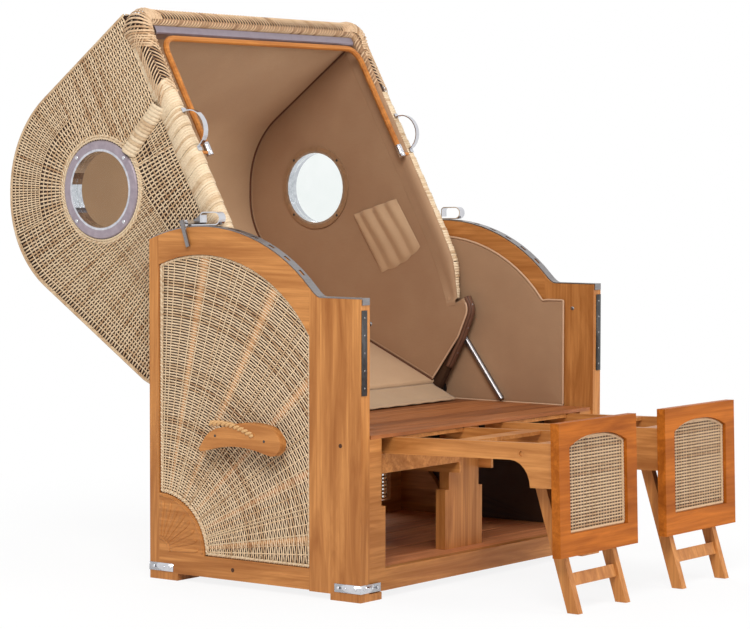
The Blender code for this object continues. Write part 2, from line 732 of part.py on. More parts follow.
PORT = (PORT_Y, PORT_Z)
SPRING_HEAD = Vector((SPRING_HEAD_Y - AXIS_Y, SPRING_HEAD_Z - AXIS_Z))
HEAD_Y = SPRING_HEAD.x * cos(RECLINE) - SPRING_HEAD.y * sin(RECLINE)
HEAD_Z = SPRING_HEAD.x * sin(RECLINE) + SPRING_HEAD.y * cos(RECLINE)
port_hole = ring(PORT, PORT_OPENING + PORT_WALL + GAP, 40)
pivot_hole = ring((0.0, 0.0), PIVOT_RADIUS + RUN, 20)
spring_hole = ring((HEAD_Y, HEAD_Z), SPRING_PIN + SLACK, 16)

pad_profile = hood_profile(inside + ROOF_PAD, inside + SHOULDER_PAD, inside + BACK_PAD, BACK_FOOT_Z + 0.035)
PAD_PATH = rounded([*pad_profile, (LIP_Y, LIP_Z, 0)], 9, False)
pad_back = from_mouth(PAD_PATH, -PAD_THICK)
pad_lip = [(LIP_Y + LIP_DEPTH * 0.45, LIP_Z - LIP_DEPTH)]
back_lining = plate("back_lining", "x", PAD_PATH + pad_lip + pad_back[::-1],
                    -(WALL_INNER - GAP), WALL_INNER - GAP)
finish(back_lining, FABRIC, hood)


def side_lining_outline():
    path = from_mouth(PAD_PATH, GAP)
    path[-1] = (LIP_Y + 0.002, LIP_Z + 0.004)
    chin = rounded([(path[-1][0], path[-1][1], 0), (CHIN_LOW_Y + 0.006, CHIN_LOW_Z + 0.010, 0.03),
                    (CHIN_Y + 0.010, CHIN_TOP - 0.040, 0.045), (CHIN_Y + 0.010, CHIN_TOP, 0)], 5, False)
    return path + chin[1:] + WALL_FRONT


def lathe_x(name, section, sides):
    """A ring turned about the x axis from (radius, x) points."""
    mesh = bpy.data.meshes.new(name)
    shape = bmesh.new()
    corners = [shape.verts.new((0.0, radius, x)) for radius, x in section]
    for a, b in zip(corners, corners[1:] + corners[:1]):
        shape.edges.new((a, b))
    shape.to_mesh(mesh)
    shape.free()
    obj = bpy.data.objects.new(name, mesh)
    screw = obj.modifiers.new("turned", "SCREW")
    screw.axis = "Z"
    screw.steps = sides
    screw.render_steps = sides
    screw.use_merge_vertices = True
    screw.merge_threshold = 0.00001
    obj.rotation_euler = (0.0, pi / 2, 0.0)
    return obj


def porthole(label, side):
    outer_face = HOOD_HALF + GAP
    inner_face = WALL_INNER - 2 * GAP - HOOD_LINING
    bore, sleeve = PORT_OPENING, PORT_OPENING + PORT_WALL
    lip = PORT_FLANGE_THICK
    section = [(bore, outer_face + lip), (PORT_FLANGE - 0.003, outer_face + lip),
               (PORT_FLANGE, outer_face + 0.002),
               (PORT_FLANGE, outer_face), (sleeve, outer_face), (sleeve, inner_face),
               (PORT_INNER_FLANGE, inner_face), (PORT_INNER_FLANGE, inner_face - lip),
               (bore, inner_face - lip)]
    fitting = lathe_x(label + "_porthole_ring", [(r, side * x) for r, x in section][::side], 40)
    fitting.location = (0.0, PORT_Y, PORT_Z)
    finish(fitting, CHROME, hood)
    middle = side * (outer_face + inner_face) / 2
    pane = rod(label + "_porthole_pane", (middle - GLASS_THICK / 2, *PORT), (middle + GLASS_THICK / 2, *PORT),
               PORT_OPENING - GAP, 40)
    finish(pane, GLASS, hood)


def hood_side(label, side):
    x_low, x_high = spread(side, WALL_INNER, HOOD_HALF)
    wall = plate(label + "_hood_wall", "x", wall_outline(inside), x_low, x_high,
                 [port_hole, pivot_hole, spring_hole])
    finish(wall, RATTAN, hood)
    x_low, x_high = spread(side, WALL_INNER - GAP - HOOD_LINING, WALL_INNER - GAP)
    lining = plate(label + "_hood_lining", "x", side_lining_outline(), x_low, x_high, [port_hole])
    finish(lining, FABRIC, hood)
    porthole(label, side)
    face = LINING_FACE - GAP
    pin = rod(label + "_pivot_pin", (side * face, AXIS_Y, AXIS_Z),
              (side * (WALL_INNER + GAP), AXIS_Y, AXIS_Z),
              PIVOT_RADIUS, 20)
    flange = rod(label + "_pivot_flange", (side * face, AXIS_Y, AXIS_Z),
                 (side * (face - PIVOT_FLANGE_THICK), AXIS_Y, AXIS_Z), PIVOT_FLANGE, 24)
    combine(pin, flange, "UNION")
    finish(pin, STEEL)


for label, side in SIDES:
    hood_side(label, side)

# The rattan roll round the mouth, with a socket for each end of the awning bow
roll_x = HOOD_HALF + EDGE_STAND - EDGE_RADIUS
top_bend = rounded([(-roll_x, EDGE_BEND_TOP, 0), (-roll_x, EDGE_TOP, EDGE_CORNER),
                    (roll_x, EDGE_TOP, EDGE_CORNER), (roll_x, EDGE_BEND_TOP, 0)], 6, False)
route = [(-roll_x, y, z) for y, z in LEAN_RUN[:0:-1]] + [(x, EDGE_Y, z) for x, z in top_bend]
route += [(roll_x, y, z) for y, z in LEAN_RUN[1:]]
edge_roll = tube("edge_roll", route, EDGE_RADIUS, 4)
BOW_X = roll_x - EDGE_RADIUS - BOW_GAP - BOW_RADIUS
pin_end = roll_x - EDGE_RADIUS + BOW_PIN_DEPTH
for label, side in SIDES:
    socket = rod(label + "_bow_socket", (side * BOW_X, BOW_Y, BOW_AXIS_Z),
                 (side * (pin_end + RUN), BOW_Y, BOW_AXIS_Z),
                 BOW_PIN_RADIUS + RUN, 16)
    combine(edge_roll, socket, "DIFFERENCE", hood)
finish(edge_roll, RATTAN, hood, radians(40))

cassette_top = EDGE_TOP - EDGE_RADIUS - GAP
cassette_low = cassette_top - CASSETTE_HEIGHT
cassette_half = roll_x - EDGE_CORNER
cassette_front = EDGE_Y - CASSETTE_DEPTH / 2
cassette_rear = EDGE_Y + CASSETTE_DEPTH / 2
section = rounded([(cassette_rear, cassette_top, 0), (cassette_front, cassette_top, 0.004),
                   (cassette_front, cassette_low, 0.010), (cassette_rear, cassette_low, 0.004)], 3)
finish(plate("awning_cassette", "x", section, -cassette_half, cassette_half), ALUMINIUM, hood)


def bow_frame():
    """The awning bow swings on pins turned out at the feet of its arms."""
    axis = frame("bow_axis", (0.0, BOW_Y, BOW_AXIS_Z), 0.0, hood)
    top = cassette_low - BOW_DROP - BOW_RADIUS - BOW_AXIS_Z
    foot_bend = 0.016
    arms = rounded([(-BOW_X, foot_bend, 0), (-BOW_X, top, 0.05),
                    (BOW_X, top, 0.05), (BOW_X, foot_bend, 0)], 6, False)
    bow = tube("awning_bow", [(x, 0.0, z) for x, z in [(-BOW_X, -BOW_PIN_RADIUS * 2)] + arms
                              + [(BOW_X, -BOW_PIN_RADIUS * 2)]], BOW_RADIUS, 2)
    for label, side in SIDES:
        pin = rod(label + "_bow_pin", (side * BOW_X, 0.0, 0.0), (side * pin_end, 0.0, 0.0),
                  BOW_PIN_RADIUS, 16)
        combine(bow, pin, "UNION", axis)
    finish(bow, WOOD, axis, radians(40))


bow_frame()


def grab_loop(label, side):
    """A flat strap bent into a D on the front of the roll."""
    face = EDGE_Y - EDGE_RADIUS - GAP
    middle = (LOOP_FOOT_LOW + LOOP_FOOT_HIGH) / 2
    half = (LOOP_FOOT_HIGH - LOOP_FOOT_LOW) / 2
    bow = [(face - LOOP_REACH * sin(t), middle + half * cos(t)) for t in (pi * i / 12 for i in range(13))]
    path = [(face, LOOP_FOOT_HIGH + LOOP_FOOT), *bow, (face, LOOP_FOOT_LOW - LOOP_FOOT)]
    x_low, x_high = spread(side, roll_x - LOOP_WIDTH / 2, roll_x + LOOP_WIDTH / 2)
    strap = band(path, 0.0, -STRAP_THICK)
    finish(plate(label + "_grab_loop", "x", strap, x_low, x_high), CHROME, hood)


def latch(label, side):
    """A bracket on the hood wall and the lever that drops on to the slotted rail."""
    radius = ARCH_RADIUS + GAP + RAIL_THICK + LATCH_LIFT
    turn = LATCH_ANGLE
    pin = (radius * cos(turn), radius * sin(turn))
    plate_face = HOOD_HALF + GAP
    finger_face = HALF + FINGER_GAP
    half = LATCH_PLATE / 2
    x_low, x_high = spread(side, plate_face, plate_face + LATCH_PLATE_THICK)
    centre = (pin[0] + half * 0.45, pin[1] - half * 0.15)
    bracket = plate(label + "_latch_bracket", "x",
                    rounded([(centre[0] + a * half, centre[1] + b * half * 0.8, 0.006)
                             for a, b in ((1, 1), (-1, 1), (-1, -1), (1, -1))], 3), x_low, x_high)
    combine(bracket, rod(label + "_latch_pin", (side * plate_face, *pin),
                         (side * (finger_face + LATCH_PLATE_THICK), *pin), LATCH_PIN_RADIUS, 14),
            "UNION", hood)
    x_low, x_high = spread(side, finger_face, finger_face + LATCH_PLATE_THICK)
    reach = (-cos(turn - RECLINE * 0.4), -sin(turn - RECLINE * 0.4))
    across = (-reach[1], reach[0])
    tip = [(pin[0] + reach[0] * a + across[0] * b, pin[1] + reach[1] * a + across[1] * b)
           for a, b in ((-0.008, 0.5), (-0.008, -0.5), (FINGER_LENGTH, -0.5), (FINGER_LENGTH, 0.5))
           for b in (b * FINGER_WIDTH,)]
    combine(bracket, plate(label + "_latch_finger", "x", tip, x_low, x_high), "UNION", hood)
    finish(bracket, STEEL, hood)

    axis = frame(label + "_latch_axis", (0.0, *pin), 0.0, hood)
    seat = ARCH_RADIUS + 2 * GAP + RAIL_THICK
    touch = turn + LATCH_REACH / seat / 2
    outward = Vector((cos(touch), sin(touch)))
    along = Vector((-sin(touch), cos(touch)))
    middle_point = outward * seat - Vector(pin)
    lie = [middle_point - along * LATCH_REACH / 2, middle_point + along * LATCH_REACH / 2]
    end = lie[-1]
    loop = arc((0.0, LATCH_LOOP_RADIUS), LATCH_LOOP_RADIUS, -pi / 2, pi / 2, 9)
    loop += arc((-LATCH_LOOP_RUN, 2 * LATCH_LOOP_RADIUS - LATCH_LOOP_BEND), LATCH_LOOP_BEND, pi / 2, pi, 5)
    loop.append((-LATCH_LOOP_RUN - LATCH_LOOP_BEND, STRAP_THICK + LATCH_LOOP_MOUTH))
    path = [tuple(point) for point in lie] + [tuple(end + along * a + outward * b) for a, b in loop[1:]]
    strap = band(path, 0.0, -STRAP_THICK)
    middle = HALF - PANEL_THICK / 2
    x_low, x_high = spread(side, middle - RAIL_WIDTH / 2 + 0.003, middle + RAIL_WIDTH / 2 - 0.003)
    lever = plate(label + "_latch_lever", "x", strap, x_low, x_high)
    combine(lever, rod(label + "_latch_knuckle", (x_low, 0.0, 0.0), (x_high, 0.0, 0.0), LATCH_KNUCKLE, 18),
            "UNION", axis)
    combine(lever, rod(label + "_latch_bore", (x_low - GAP, 0.0, 0.0), (x_high + GAP, 0.0, 0.0),
                       LATCH_PIN_RADIUS + RUN, 14), "DIFFERENCE", axis)
    finish(lever, CHROME, axis)


def gas_spring(label, side):
    """A barrel on the side panel and a rod pinned to the hood."""
    x = side * (HOOD_HALF + LINING_FACE) / 2
    foot_point = Vector((x, SPRING_FOOT_Y, SPRING_FOOT_Z))
    head_point = Vector((x, SPRING_HEAD_Y, SPRING_HEAD_Z))
    line = (head_point - foot_point).normalized()
    axis = frame(label + "_spring_axis", foot_point)
    barrel = rod(label + "_spring_barrel", -line * 0.010, line * SPRING_BARREL_LENGTH, SPRING_BARREL, 16)
    pin = rod(label + "_spring_foot_pin", (0.0, 0.0, 0.0), (side * (INNER - GAP) - x, 0.0, 0.0),
              SPRING_PIN, 14)
    combine(barrel, pin, "UNION", axis)
    length = (head_point - foot_point).length
    rod_start = SPRING_BARREL_LENGTH - SPRING_ENGAGED
    bore_start = rod_start - SPRING_STROKE
    bore = rod(label + "_spring_bore", line * bore_start, line * (SPRING_BARREL_LENGTH + 0.01),
               SPRING_ROD + RUN, 14)
    combine(barrel, bore, "DIFFERENCE", axis)
    finish(barrel, BLACK, axis, radians(40))
    stem = rod(label + "_spring_rod", line * rod_start, line * (length + 0.008), SPRING_ROD, 14)
    head_pin = rod(label + "_spring_head_pin", line * length,
                   line * length + Vector((side * (WALL_INNER + 0.004) - x, 0, 0)),
                   SPRING_PIN, 14)
    combine(stem, head_pin, "UNION", axis)
    finish(stem, STEEL, axis, radians(40))


def storage_pocket():
    """A gathered pocket of thin cloth sewn to the right lining."""
    name = "storage_pocket"
    face = WALL_INNER - 2 * GAP - HOOD_LINING
    mesh = bpy.data.meshes.new(name)
    shape = bmesh.new()
    columns, rows = 20, 7
    bmesh.ops.create_grid(shape, x_segments=columns, y_segments=rows, size=0.5)
    for vert in shape.verts:
        u, v = vert.co.x + 0.5, vert.co.y + 0.5
        swell = POCKET_BULGE * (4 * u * (1 - u)) ** 0.5 * (0.35 + 0.65 * sin(pi * (1 - v) ** 0.7))
        fold = POCKET_FOLD_DEPTH * sin(2 * pi * POCKET_FOLDS * u) * v * (4 * u * (1 - u)) ** 0.5
        along = POCKET_FRONT + (POCKET_REAR - POCKET_FRONT) * u - 0.012 * (1 - v)
        height = POCKET_BOTTOM + (POCKET_TOP - POCKET_BOTTOM) * v + 0.035 * u * v
        vert.co = (face - 0.003 - swell - fold, along, height - 0.012 * sin(pi * u) * (1 - v))
    rim = bmesh.ops.extrude_face_region(shape, geom=shape.faces[:])
    for item in rim["geom"]:
        if isinstance(item, bmesh.types.BMVert):
            item.co.x = face
    bmesh.ops.recalc_face_normals(shape, faces=shape.faces)
    shape.to_mesh(mesh)
    shape.free()
    finish(bpy.data.objects.new(name, mesh), FABRIC, hood, radians(60))


for label, side in SIDES:
    grab_loop(label, side)
    latch(label, side)
    gas_spring(label, side)
storage_pocket()

# The flap that closes the gap between the hood's lip and the seat, hinged against the lip
lip_face = (Vector(pad_lip[0]) + Vector((LIP_Y, LIP_Z))) / 2
lip_run = (Vector(pad_lip[0]) - Vector((LIP_Y, LIP_Z))).normalized()
flap_seat = lip_face + Vector((lip_run.y, -lip_run.x)) * (FLAP_RADIUS + GAP)
flap_axis = frame("flap_axis", (0.0, AXIS_Y + flap_seat.x * cos(RECLINE) + flap_seat.y * sin(RECLINE),
                                AXIS_Z - flap_seat.x * sin(RECLINE) + flap_seat.y * cos(RECLINE)))
flap_drop = asin((flap_axis.location.z - DECK_TOP - FLAP_RADIUS - 2 * GAP) / FLAP_LENGTH)
flap_end = (-FLAP_LENGTH * cos(flap_drop), -FLAP_LENGTH * sin(flap_drop))
lean = atan2(flap_end[1], flap_end[0])
capsule = arc(flap_end, FLAP_RADIUS, lean - pi / 2, lean + pi / 2, 6)
capsule += arc((0.0, 0.0), FLAP_RADIUS, lean + pi / 2, lean + 1.5 * pi, 6)
finish(plate("seat_flap", "x", capsule, -FLAP_WIDTH / 2, FLAP_WIDTH / 2), PALE_FABRIC, flap_axis)

# Footrests: a tilted frame of boards behind a panelled front, on a folding pair of legs


def board_outline():
    """A side board with the hollowed bracket that stiffens the front panel."""
    half = SIDE_BOARD_HEIGHT / 2
    low = -half - GUSSET_DEPTH
    front = -REST_LENGTH
    toe = front + GUSSET_LENGTH
    curve = [(toe + GUSSET_CURVE * (1 - cos(t)), low + GUSSET_DEPTH * sin(t))
             for t in (i * pi / 12 for i in range(7))]
    return [(REST_TAIL, -half), (REST_TAIL, half), (front, half), (front, low), *curve]


def front_opening(inset):
    half = FRONT_WIDTH / 2 - FRONT_STILE_WIDTH - inset
    low = FRONT_BOTTOM + FRONT_SILL + inset
    spring = FRONT_TOP - FRONT_HEAD - inset
    crown = []
    steps = 10
    for i in range(steps + 1):
        t = -1 + 2 * i / steps
        crown.append((-t * half, spring + FRONT_ARCH * (1 - abs(t) ** 2.6)))
    return [(half, low), *crown, (-half, low)]


def footrest(label, side):
    base = frame(label + "_footrest_axis", (side * REST_X, REST_Y, REST_Z), -REST_TILT)
    half = SIDE_BOARD_HEIGHT / 2
    outer = REST_WIDTH / 2
    inner = outer - SIDE_BOARD_THICK
    dowel_hole = ring((LEG_AXIS_Y, LEG_AXIS_Z), LEG_DOWEL + RUN, 16)
    body = plate(label + "_footrest_frame", "x", board_outline(), -outer, -inner, [dowel_hole])
    other = plate(label + "_far_board", "x", board_outline(), inner, outer, [dowel_hole])
    combine(body, other, "UNION", base)
    pitch = (REST_LENGTH + REST_TAIL - SLAT_WIDTH) / (SLAT_COUNT - 1)
    for i in range(SLAT_COUNT):
        rear = REST_TAIL - i * pitch
        slat = block("%s_slat_%d" % (label, i),
                     (-inner - SIDE_BOARD_THICK / 2, rear - SLAT_WIDTH, half - SLAT_THICK),
                     (inner + SIDE_BOARD_THICK / 2, rear, half - 0.0005))
        combine(body, slat, "UNION", base)
    ends = sorted((side * CROSSBAR_OUTER, -side * CROSSBAR_INNER))
    bar = block(label + "_crossbar", (ends[0], REST_TAIL - CROSSBAR_THICK, -half - CROSSBAR_DEPTH),
                (ends[1], REST_TAIL - 0.0005, -half + 0.002))
    combine(body, bar, "UNION", base)
    finish(body, WOOD, base)

    rear = -REST_LENGTH - GAP
    edge = FRONT_WIDTH / 2
    face = [(edge, FRONT_BOTTOM), (edge, FRONT_TOP), (-edge, FRONT_TOP), (-edge, FRONT_BOTTOM)]
    front = plate(label + "_footrest_front", "y", face, rear - FRONT_PANEL_THICK, rear, [front_opening(0.0)])
    finish(front, WOOD, base)
    back = rear - FRONT_WEAVE_INSET
    weave = plate(label + "_footrest_weave", "y", front_opening(GAP), back - FRONT_WEAVE_THICK, back)
    finish(weave, RATTAN, base)
    leg_frame(label, base, inner)


def leg_frame(label, base, inner):
    """Two legs joined by a rail, hung on a dowel between the side boards."""
    axis = frame(label + "_leg_axis", (0.0, LEG_AXIS_Y, LEG_AXIS_Z), 0.0, base)
    height = REST_Z + LEG_AXIS_Z * cos(REST_TILT) - LEG_AXIS_Y * sin(REST_TILT) - LEG_CLEARANCE
    lean = LEG_LEAN - REST_TILT
    half = LEG_WIDTH / 2
    down = (-sin(lean), -cos(lean))
    across = (cos(lean), -sin(lean))
    floor_run = height / cos(LEG_LEAN)
    cut = half * tan(LEG_LEAN)
    top = arc((0.0, 0.0), half, atan2(across[1], across[0]), atan2(across[1], across[0]) + pi, 6)
    heel = tuple(down[i] * (floor_run + cut) - across[i] * half for i in (0, 1))
    toe = tuple(down[i] * (floor_run - cut) + across[i] * half for i in (0, 1))
    outline = top + ([heel, toe])
    outer = LEG_SPAN / 2
    legs = plate(label + "_leg_frame", "x", outline, -outer, -outer + LEG_THICK)
    combine(legs, plate(label + "_far_leg", "x", outline, outer - LEG_THICK, outer), "UNION", axis)
    middle = (height - LEG_RAIL_HEIGHT) / cos(LEG_LEAN)
    rail = block(label + "_leg_rail", (-outer + LEG_THICK / 2, -LEG_RAIL_THICK / 2, -LEG_RAIL_DEPTH / 2),
                 (outer - LEG_THICK / 2, LEG_RAIL_THICK / 2, LEG_RAIL_DEPTH / 2))
    rail.location = (0.0, down[0] * middle, down[1] * middle)
    rail.rotation_euler = (-lean, 0.0, 0.0)
    combine(legs, rail, "UNION", axis)
    reach = inner + SIDE_BOARD_THICK * 0.8
    dowel = rod(label + "_leg_dowel", (-reach, 0.0, 0.0), (reach, 0.0, 0.0), LEG_DOWEL, 16)
    combine(legs, dowel, "UNION", axis)
    finish(legs, WOOD, axis)


for label, side in SIDES:
    footrest(label, side)

# The forked runner that the footrests' crossbars slide on
runner_axis = frame("runner_axis", (0.0, REST_Y, REST_Z), -REST_TILT)
runner_top = -SIDE_BOARD_HEIGHT / 2 - CROSSBAR_DEPTH - GAP
runner_front = REST_TAIL - CROSSBAR_THICK - 0.004
runner_back = (REAR_FACE - GAP - REST_Y) / cos(REST_TILT) - RUNNER_THICK * sin(REST_TILT) - 0.004
tine_outer = CENTRE_POST_WIDTH / 2 + GAP + RUNNER_INNER
tine_inner = CENTRE_POST_WIDTH / 2 + GAP
post_back = post_front + CENTRE_POST_THICK - REST_Y + 0.008
half_fork = [(BOX_HALF, runner_back), (BOX_HALF, runner_front), (BOX_HALF - RUNNER_OUTER, runner_front),
             (BOX_HALF - RUNNER_OUTER, runner_back - RUNNER_REAR), (tine_outer, runner_back - RUNNER_REAR),
             (tine_outer, runner_front), (tine_inner, runner_front), (tine_inner, post_back)]
fork = half_fork + [(-x, y) for x, y in half_fork[::-1]]
finish(plate("footrest_runner", "z", fork, runner_top - RUNNER_THICK, runner_top), WOOD, runner_axis)

# Centre the finished chair over the row's origin, front to rear
bpy.context.view_layer.update()
depsgraph = bpy.context.evaluated_depsgraph_get()
ends = []
for obj in chair.objects:
    if obj.type == "MESH":
        shape = obj.evaluated_get(depsgraph)
        ends += [(shape.matrix_world @ vert.co).y for vert in shape.data.vertices]
origin.location.y = -(min(ends) + max(ends)) / 2
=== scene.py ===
"""The hooded beach chair, dressed over its CAD frame.

Metres, +Z up, the sitter faces -Y. Hood shapes are drawn upright about the hood's axis, as the part
draws them, and hood_place() leans them back. Woven cane is real strands that pass over and
under their stakes.
"""
import json
from math import acos, asin, atan2, cos, hypot, pi, radians, sin

import bmesh
import bpy
import numpy as np
from mathutils import Matrix, Vector, kdtree, noise


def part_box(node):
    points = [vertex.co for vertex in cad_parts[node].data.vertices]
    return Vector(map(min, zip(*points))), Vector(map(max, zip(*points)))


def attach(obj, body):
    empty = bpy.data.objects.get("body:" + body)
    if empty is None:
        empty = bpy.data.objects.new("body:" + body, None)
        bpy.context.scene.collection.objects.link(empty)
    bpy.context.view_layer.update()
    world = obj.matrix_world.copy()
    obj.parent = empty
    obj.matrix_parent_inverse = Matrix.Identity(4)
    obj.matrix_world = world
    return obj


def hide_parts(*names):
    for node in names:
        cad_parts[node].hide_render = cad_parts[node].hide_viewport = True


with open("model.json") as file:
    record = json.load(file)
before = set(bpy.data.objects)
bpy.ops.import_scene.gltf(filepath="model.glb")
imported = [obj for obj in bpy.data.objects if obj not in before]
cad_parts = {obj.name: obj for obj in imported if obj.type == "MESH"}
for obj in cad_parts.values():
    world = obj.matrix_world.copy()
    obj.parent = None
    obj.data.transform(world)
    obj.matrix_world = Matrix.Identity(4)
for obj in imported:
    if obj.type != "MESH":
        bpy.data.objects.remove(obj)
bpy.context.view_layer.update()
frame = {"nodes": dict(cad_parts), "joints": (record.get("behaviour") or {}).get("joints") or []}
NODES = frame["nodes"]
JOINTS = {joint["name"]: joint for joint in frame["joints"]}
SIDES = (("left", -1), ("right", 1))

# Places taken from the frame
_, AXIS_Y, AXIS_Z = JOINTS["hood_tilt"]["pos_m"]
RECLINE = radians(JOINTS["hood_tilt"]["range_deg"][1])
PANEL_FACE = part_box("right_front_post")[1].x
WEAVE_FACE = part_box("right_fan_weave")[1].x
HOOD_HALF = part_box("right_hood_wall")[1].x
POST_REAR, STILE_FRONT = (corner.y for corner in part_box("right_fan_weave"))
BOTTOM_RAIL_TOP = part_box("right_fan_weave")[0].z
REST_X = sum(corner.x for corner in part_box("right_footrest_front")) / 2
_, REST_Y, REST_Z = JOINTS["right_footrest_slide"]["pos_m"]
REST_TILT = radians(1.5)

# Sizes that the part uses too
ARCH_RADIUS = 0.527
ARCH_DEPTH = 0.078
SUN_RADIUS = 0.168
EDGE_RADIUS = 0.028
EDGE_STAND = 0.014
EDGE_Y = -0.250
EDGE_TOP = 1.140
EDGE_CORNER = 0.040
EDGE_BEND_TOP = 0.450
EDGE_FOOT = (-0.226, 0.212)
CHIN = ((-0.258, 0.196, 0), (-0.258, 0.151, 0.05), (-0.180, 0.088, 0.03), (-0.090, 0.030, 0))
SEAM = 0.0003             # gap between the roll and the shell behind it
MOUTH_Y = EDGE_Y + EDGE_RADIUS + SEAM
ROOF_LEVEL = 1.136
ROOF_SLOPE = 0.147
SHOULDER = (0.4265, 0.9345)
SHOULDER_FALL = radians(61)
BACK_FOOT = (0.215, 0.209)
BACK_LEAN = 0.531
CROWN_RADIUS = 0.345
NAPE_RADIUS = 0.310
SHELL_INSIDE = 0.0203
ROOF_PAD = 0.050
SHOULDER_PAD = 0.070
BACK_PAD = 0.056
PAD_THICK = 0.024
LIP = (-0.022, 0.020)
SHELL_REACH = 0.083 / hypot(*BACK_FOOT)
SHELL_FOOT = (BACK_FOOT[0] * SHELL_REACH + 0.02, BACK_FOOT[1] * SHELL_REACH - 0.02)
PORT = (0.100, 0.768)
PORT_FLANGE = 0.144
PORT_SLEEVE = 0.1185
ROLL_X = HOOD_HALF + EDGE_STAND - EDGE_RADIUS


# Shapes in plan

def arc(centre, radius, start, end, count):
    turns = np.linspace(start, end, count)
    return [(centre[0] + radius * cos(t), centre[1] + radius * sin(t)) for t in turns]


def rounded(corners, count):
    """An open path with its inner corners (y, z, radius) rounded off."""
    path = []
    for i, (a, b, radius) in enumerate(corners):
        here = Vector((a, b))
        if radius == 0 or i in (0, len(corners) - 1):
            path.append((a, b))
            continue
        before = (Vector(corners[i - 1][:2]) - here).normalized()
        after = (Vector(corners[i + 1][:2]) - here).normalized()
        half = before.angle(after) / 2
        run = radius * cos(half) / sin(half)
        centre = here + (before + after).normalized() * radius / sin(half)
        start, end = here + before * run - centre, here + after * run - centre
        first = atan2(start.y, start.x)
        turn = (atan2(end.y, end.x) - first + pi) % (2 * pi) - pi
        path += arc(centre, radius, first, first + turn, count)
    return path


def resample(path, step=None, count=None):
    """Points evenly spaced along a path."""
    path = np.asarray(path, float)
    run = np.concatenate(([0.0], np.cumsum(np.linalg.norm(np.diff(path, axis=0), axis=1))))
    count = count or max(2, int(round(run[-1] / step)) + 1)
    at = np.linspace(0.0, run[-1], count)
    return np.stack([np.interp(at, run, path[:, k]) for k in range(path.shape[1])], axis=1)


def unit(vectors):
    return vectors / np.linalg.norm(vectors, axis=-1, keepdims=True)


def in_plane_normals(path):
    """Unit normals of a path in the hood's side plane, towards the sitter."""
    along = np.gradient(path, axis=0)
    return unit(np.stack([along[:, 1], -along[:, 0]], -1))


def joined(x, y, z):
    """Points from coordinates whose shapes fit together."""
    return np.stack(np.broadcast_arrays(x, y, z), -1)


def leaned(x, y, z, axis_y, axis_z, turn):
    """Points drawn level, turned about an axis along X."""
    y, z = np.asarray(y, float), np.asarray(z, float)
    return joined(x, axis_y + y * cos(turn) + z * sin(turn), axis_z - y * sin(turn) + z * cos(turn))


def hood_place(x, y, z):
    """Points drawn upright about the hood's axis, leaned back into the row frame."""
    return leaned(x, y, z, AXIS_Y, AXIS_Z, RECLINE)


def hood_points(places):
    return hood_place(*np.moveaxis(places, -1, 0))


def rest_place(side, x, y, z):
    """Points drawn level on a footrest, in the row frame."""
    return leaned(side * REST_X + x, y, z, REST_Y, REST_Z, REST_TILT)


# Materials

def tint(red, green, blue):
    """A colour as a screen shows it, from 0 to 255, made linear."""
    shares = (c / 255 for c in (red, green, blue))
    return tuple(((c + 0.055) / 1.055) ** 2.4 if c > 0.04 else c / 12.92 for c in shares) + (1.0,)


def feed(tree, socket, value):
    """Links another node's output to a socket, or sets the socket's own value."""
    if isinstance(value, bpy.types.NodeSocket):
        tree.links.new(value, socket)
    else:
        socket.default_value = value


def add_node(tree, kind, output=0, settings=None, **inputs):
    """An output of a new node, its inputs named by word or as i0, i1 and so on by number."""
    made = tree.nodes.new("ShaderNode" + kind)
    for key, value in (settings or {}).items():
        setattr(made, key, value)
    for key, value in inputs.items():
        feed(tree, made.inputs[int(key[1:]) if key[1:].isdigit() else key.replace("_", " ")], value)
    return made.outputs[output]


class Shade:
    """One procedural material, built a node at a time."""

    def __init__(self, name):
        self.material = bpy.data.materials.new(name)
        self.material.use_nodes = True
        self.tree = self.material.node_tree
        self.surface = self.tree.nodes["Principled BSDF"]
        self.place = self.node("TexCoord", "Object")

    def node(self, kind, output=0, settings=None, **inputs):
        return add_node(self.tree, kind, output, settings, **inputs)

    def feed(self, socket, value):
        feed(self.tree, socket, value)

    def math(self, operation, *values):
        return self.node("Math", 0, {"operation": operation}, **{f"i{k}": v for k, v in enumerate(values)})

    def stretched(self, scale):
        return self.node("Mapping", Vector=self.place, Scale=scale)

    def noise(self, vector, scale, detail=4.0, roughness=0.55, distortion=0.0):
        return self.node("TexNoise", 0, Vector=vector, Scale=scale, Detail=detail, Roughness=roughness,
                         Distortion=distortion)

    def ramp(self, factor, *stops):
        output = self.node("ValToRGB", 0, Fac=factor)
        band = output.node.color_ramp
        while len(band.elements) < len(stops):
            band.elements.new(0.5)
        for element, (position, colour) in zip(band.elements, stops):
            element.position = position
            element.color = colour
        return output

    def mix(self, factor, first, second):
        return self.node("Mix", 2, {"data_type": "RGBA"}, i0=factor, i6=first, i7=second)

    def stain(self, colour, dark, factor, strength, low, high):
        """Lays a darker colour over another where factor is low."""
        share = self.ramp(factor, (low, (strength, strength, strength, 1)), (high, (0, 0, 0, 1)))
        return self.mix(share, colour, dark)

    def spread(self, value, first, last, low=0.3, high=0.7):
        """A value between low and high, spread from first to last."""
        return self.node("MapRange", 0, Value=value, i1=low, i2=high, i3=first, i4=last)

    def bump(self, height, strength, distance):
        relief = self.node("Bump", 0, Height=height, Strength=strength, Distance=distance)
        self.feed(self.surface.inputs["Normal"], relief)

    def finish(self, colour, roughness, **constants):
        self.feed(self.surface.inputs["Base Color"], colour)
        self.feed(self.surface.inputs["Roughness"], roughness)
        for key, value in constants.items():
            self.surface.inputs[key.replace("_", " ")].default_value = value
        return self.material


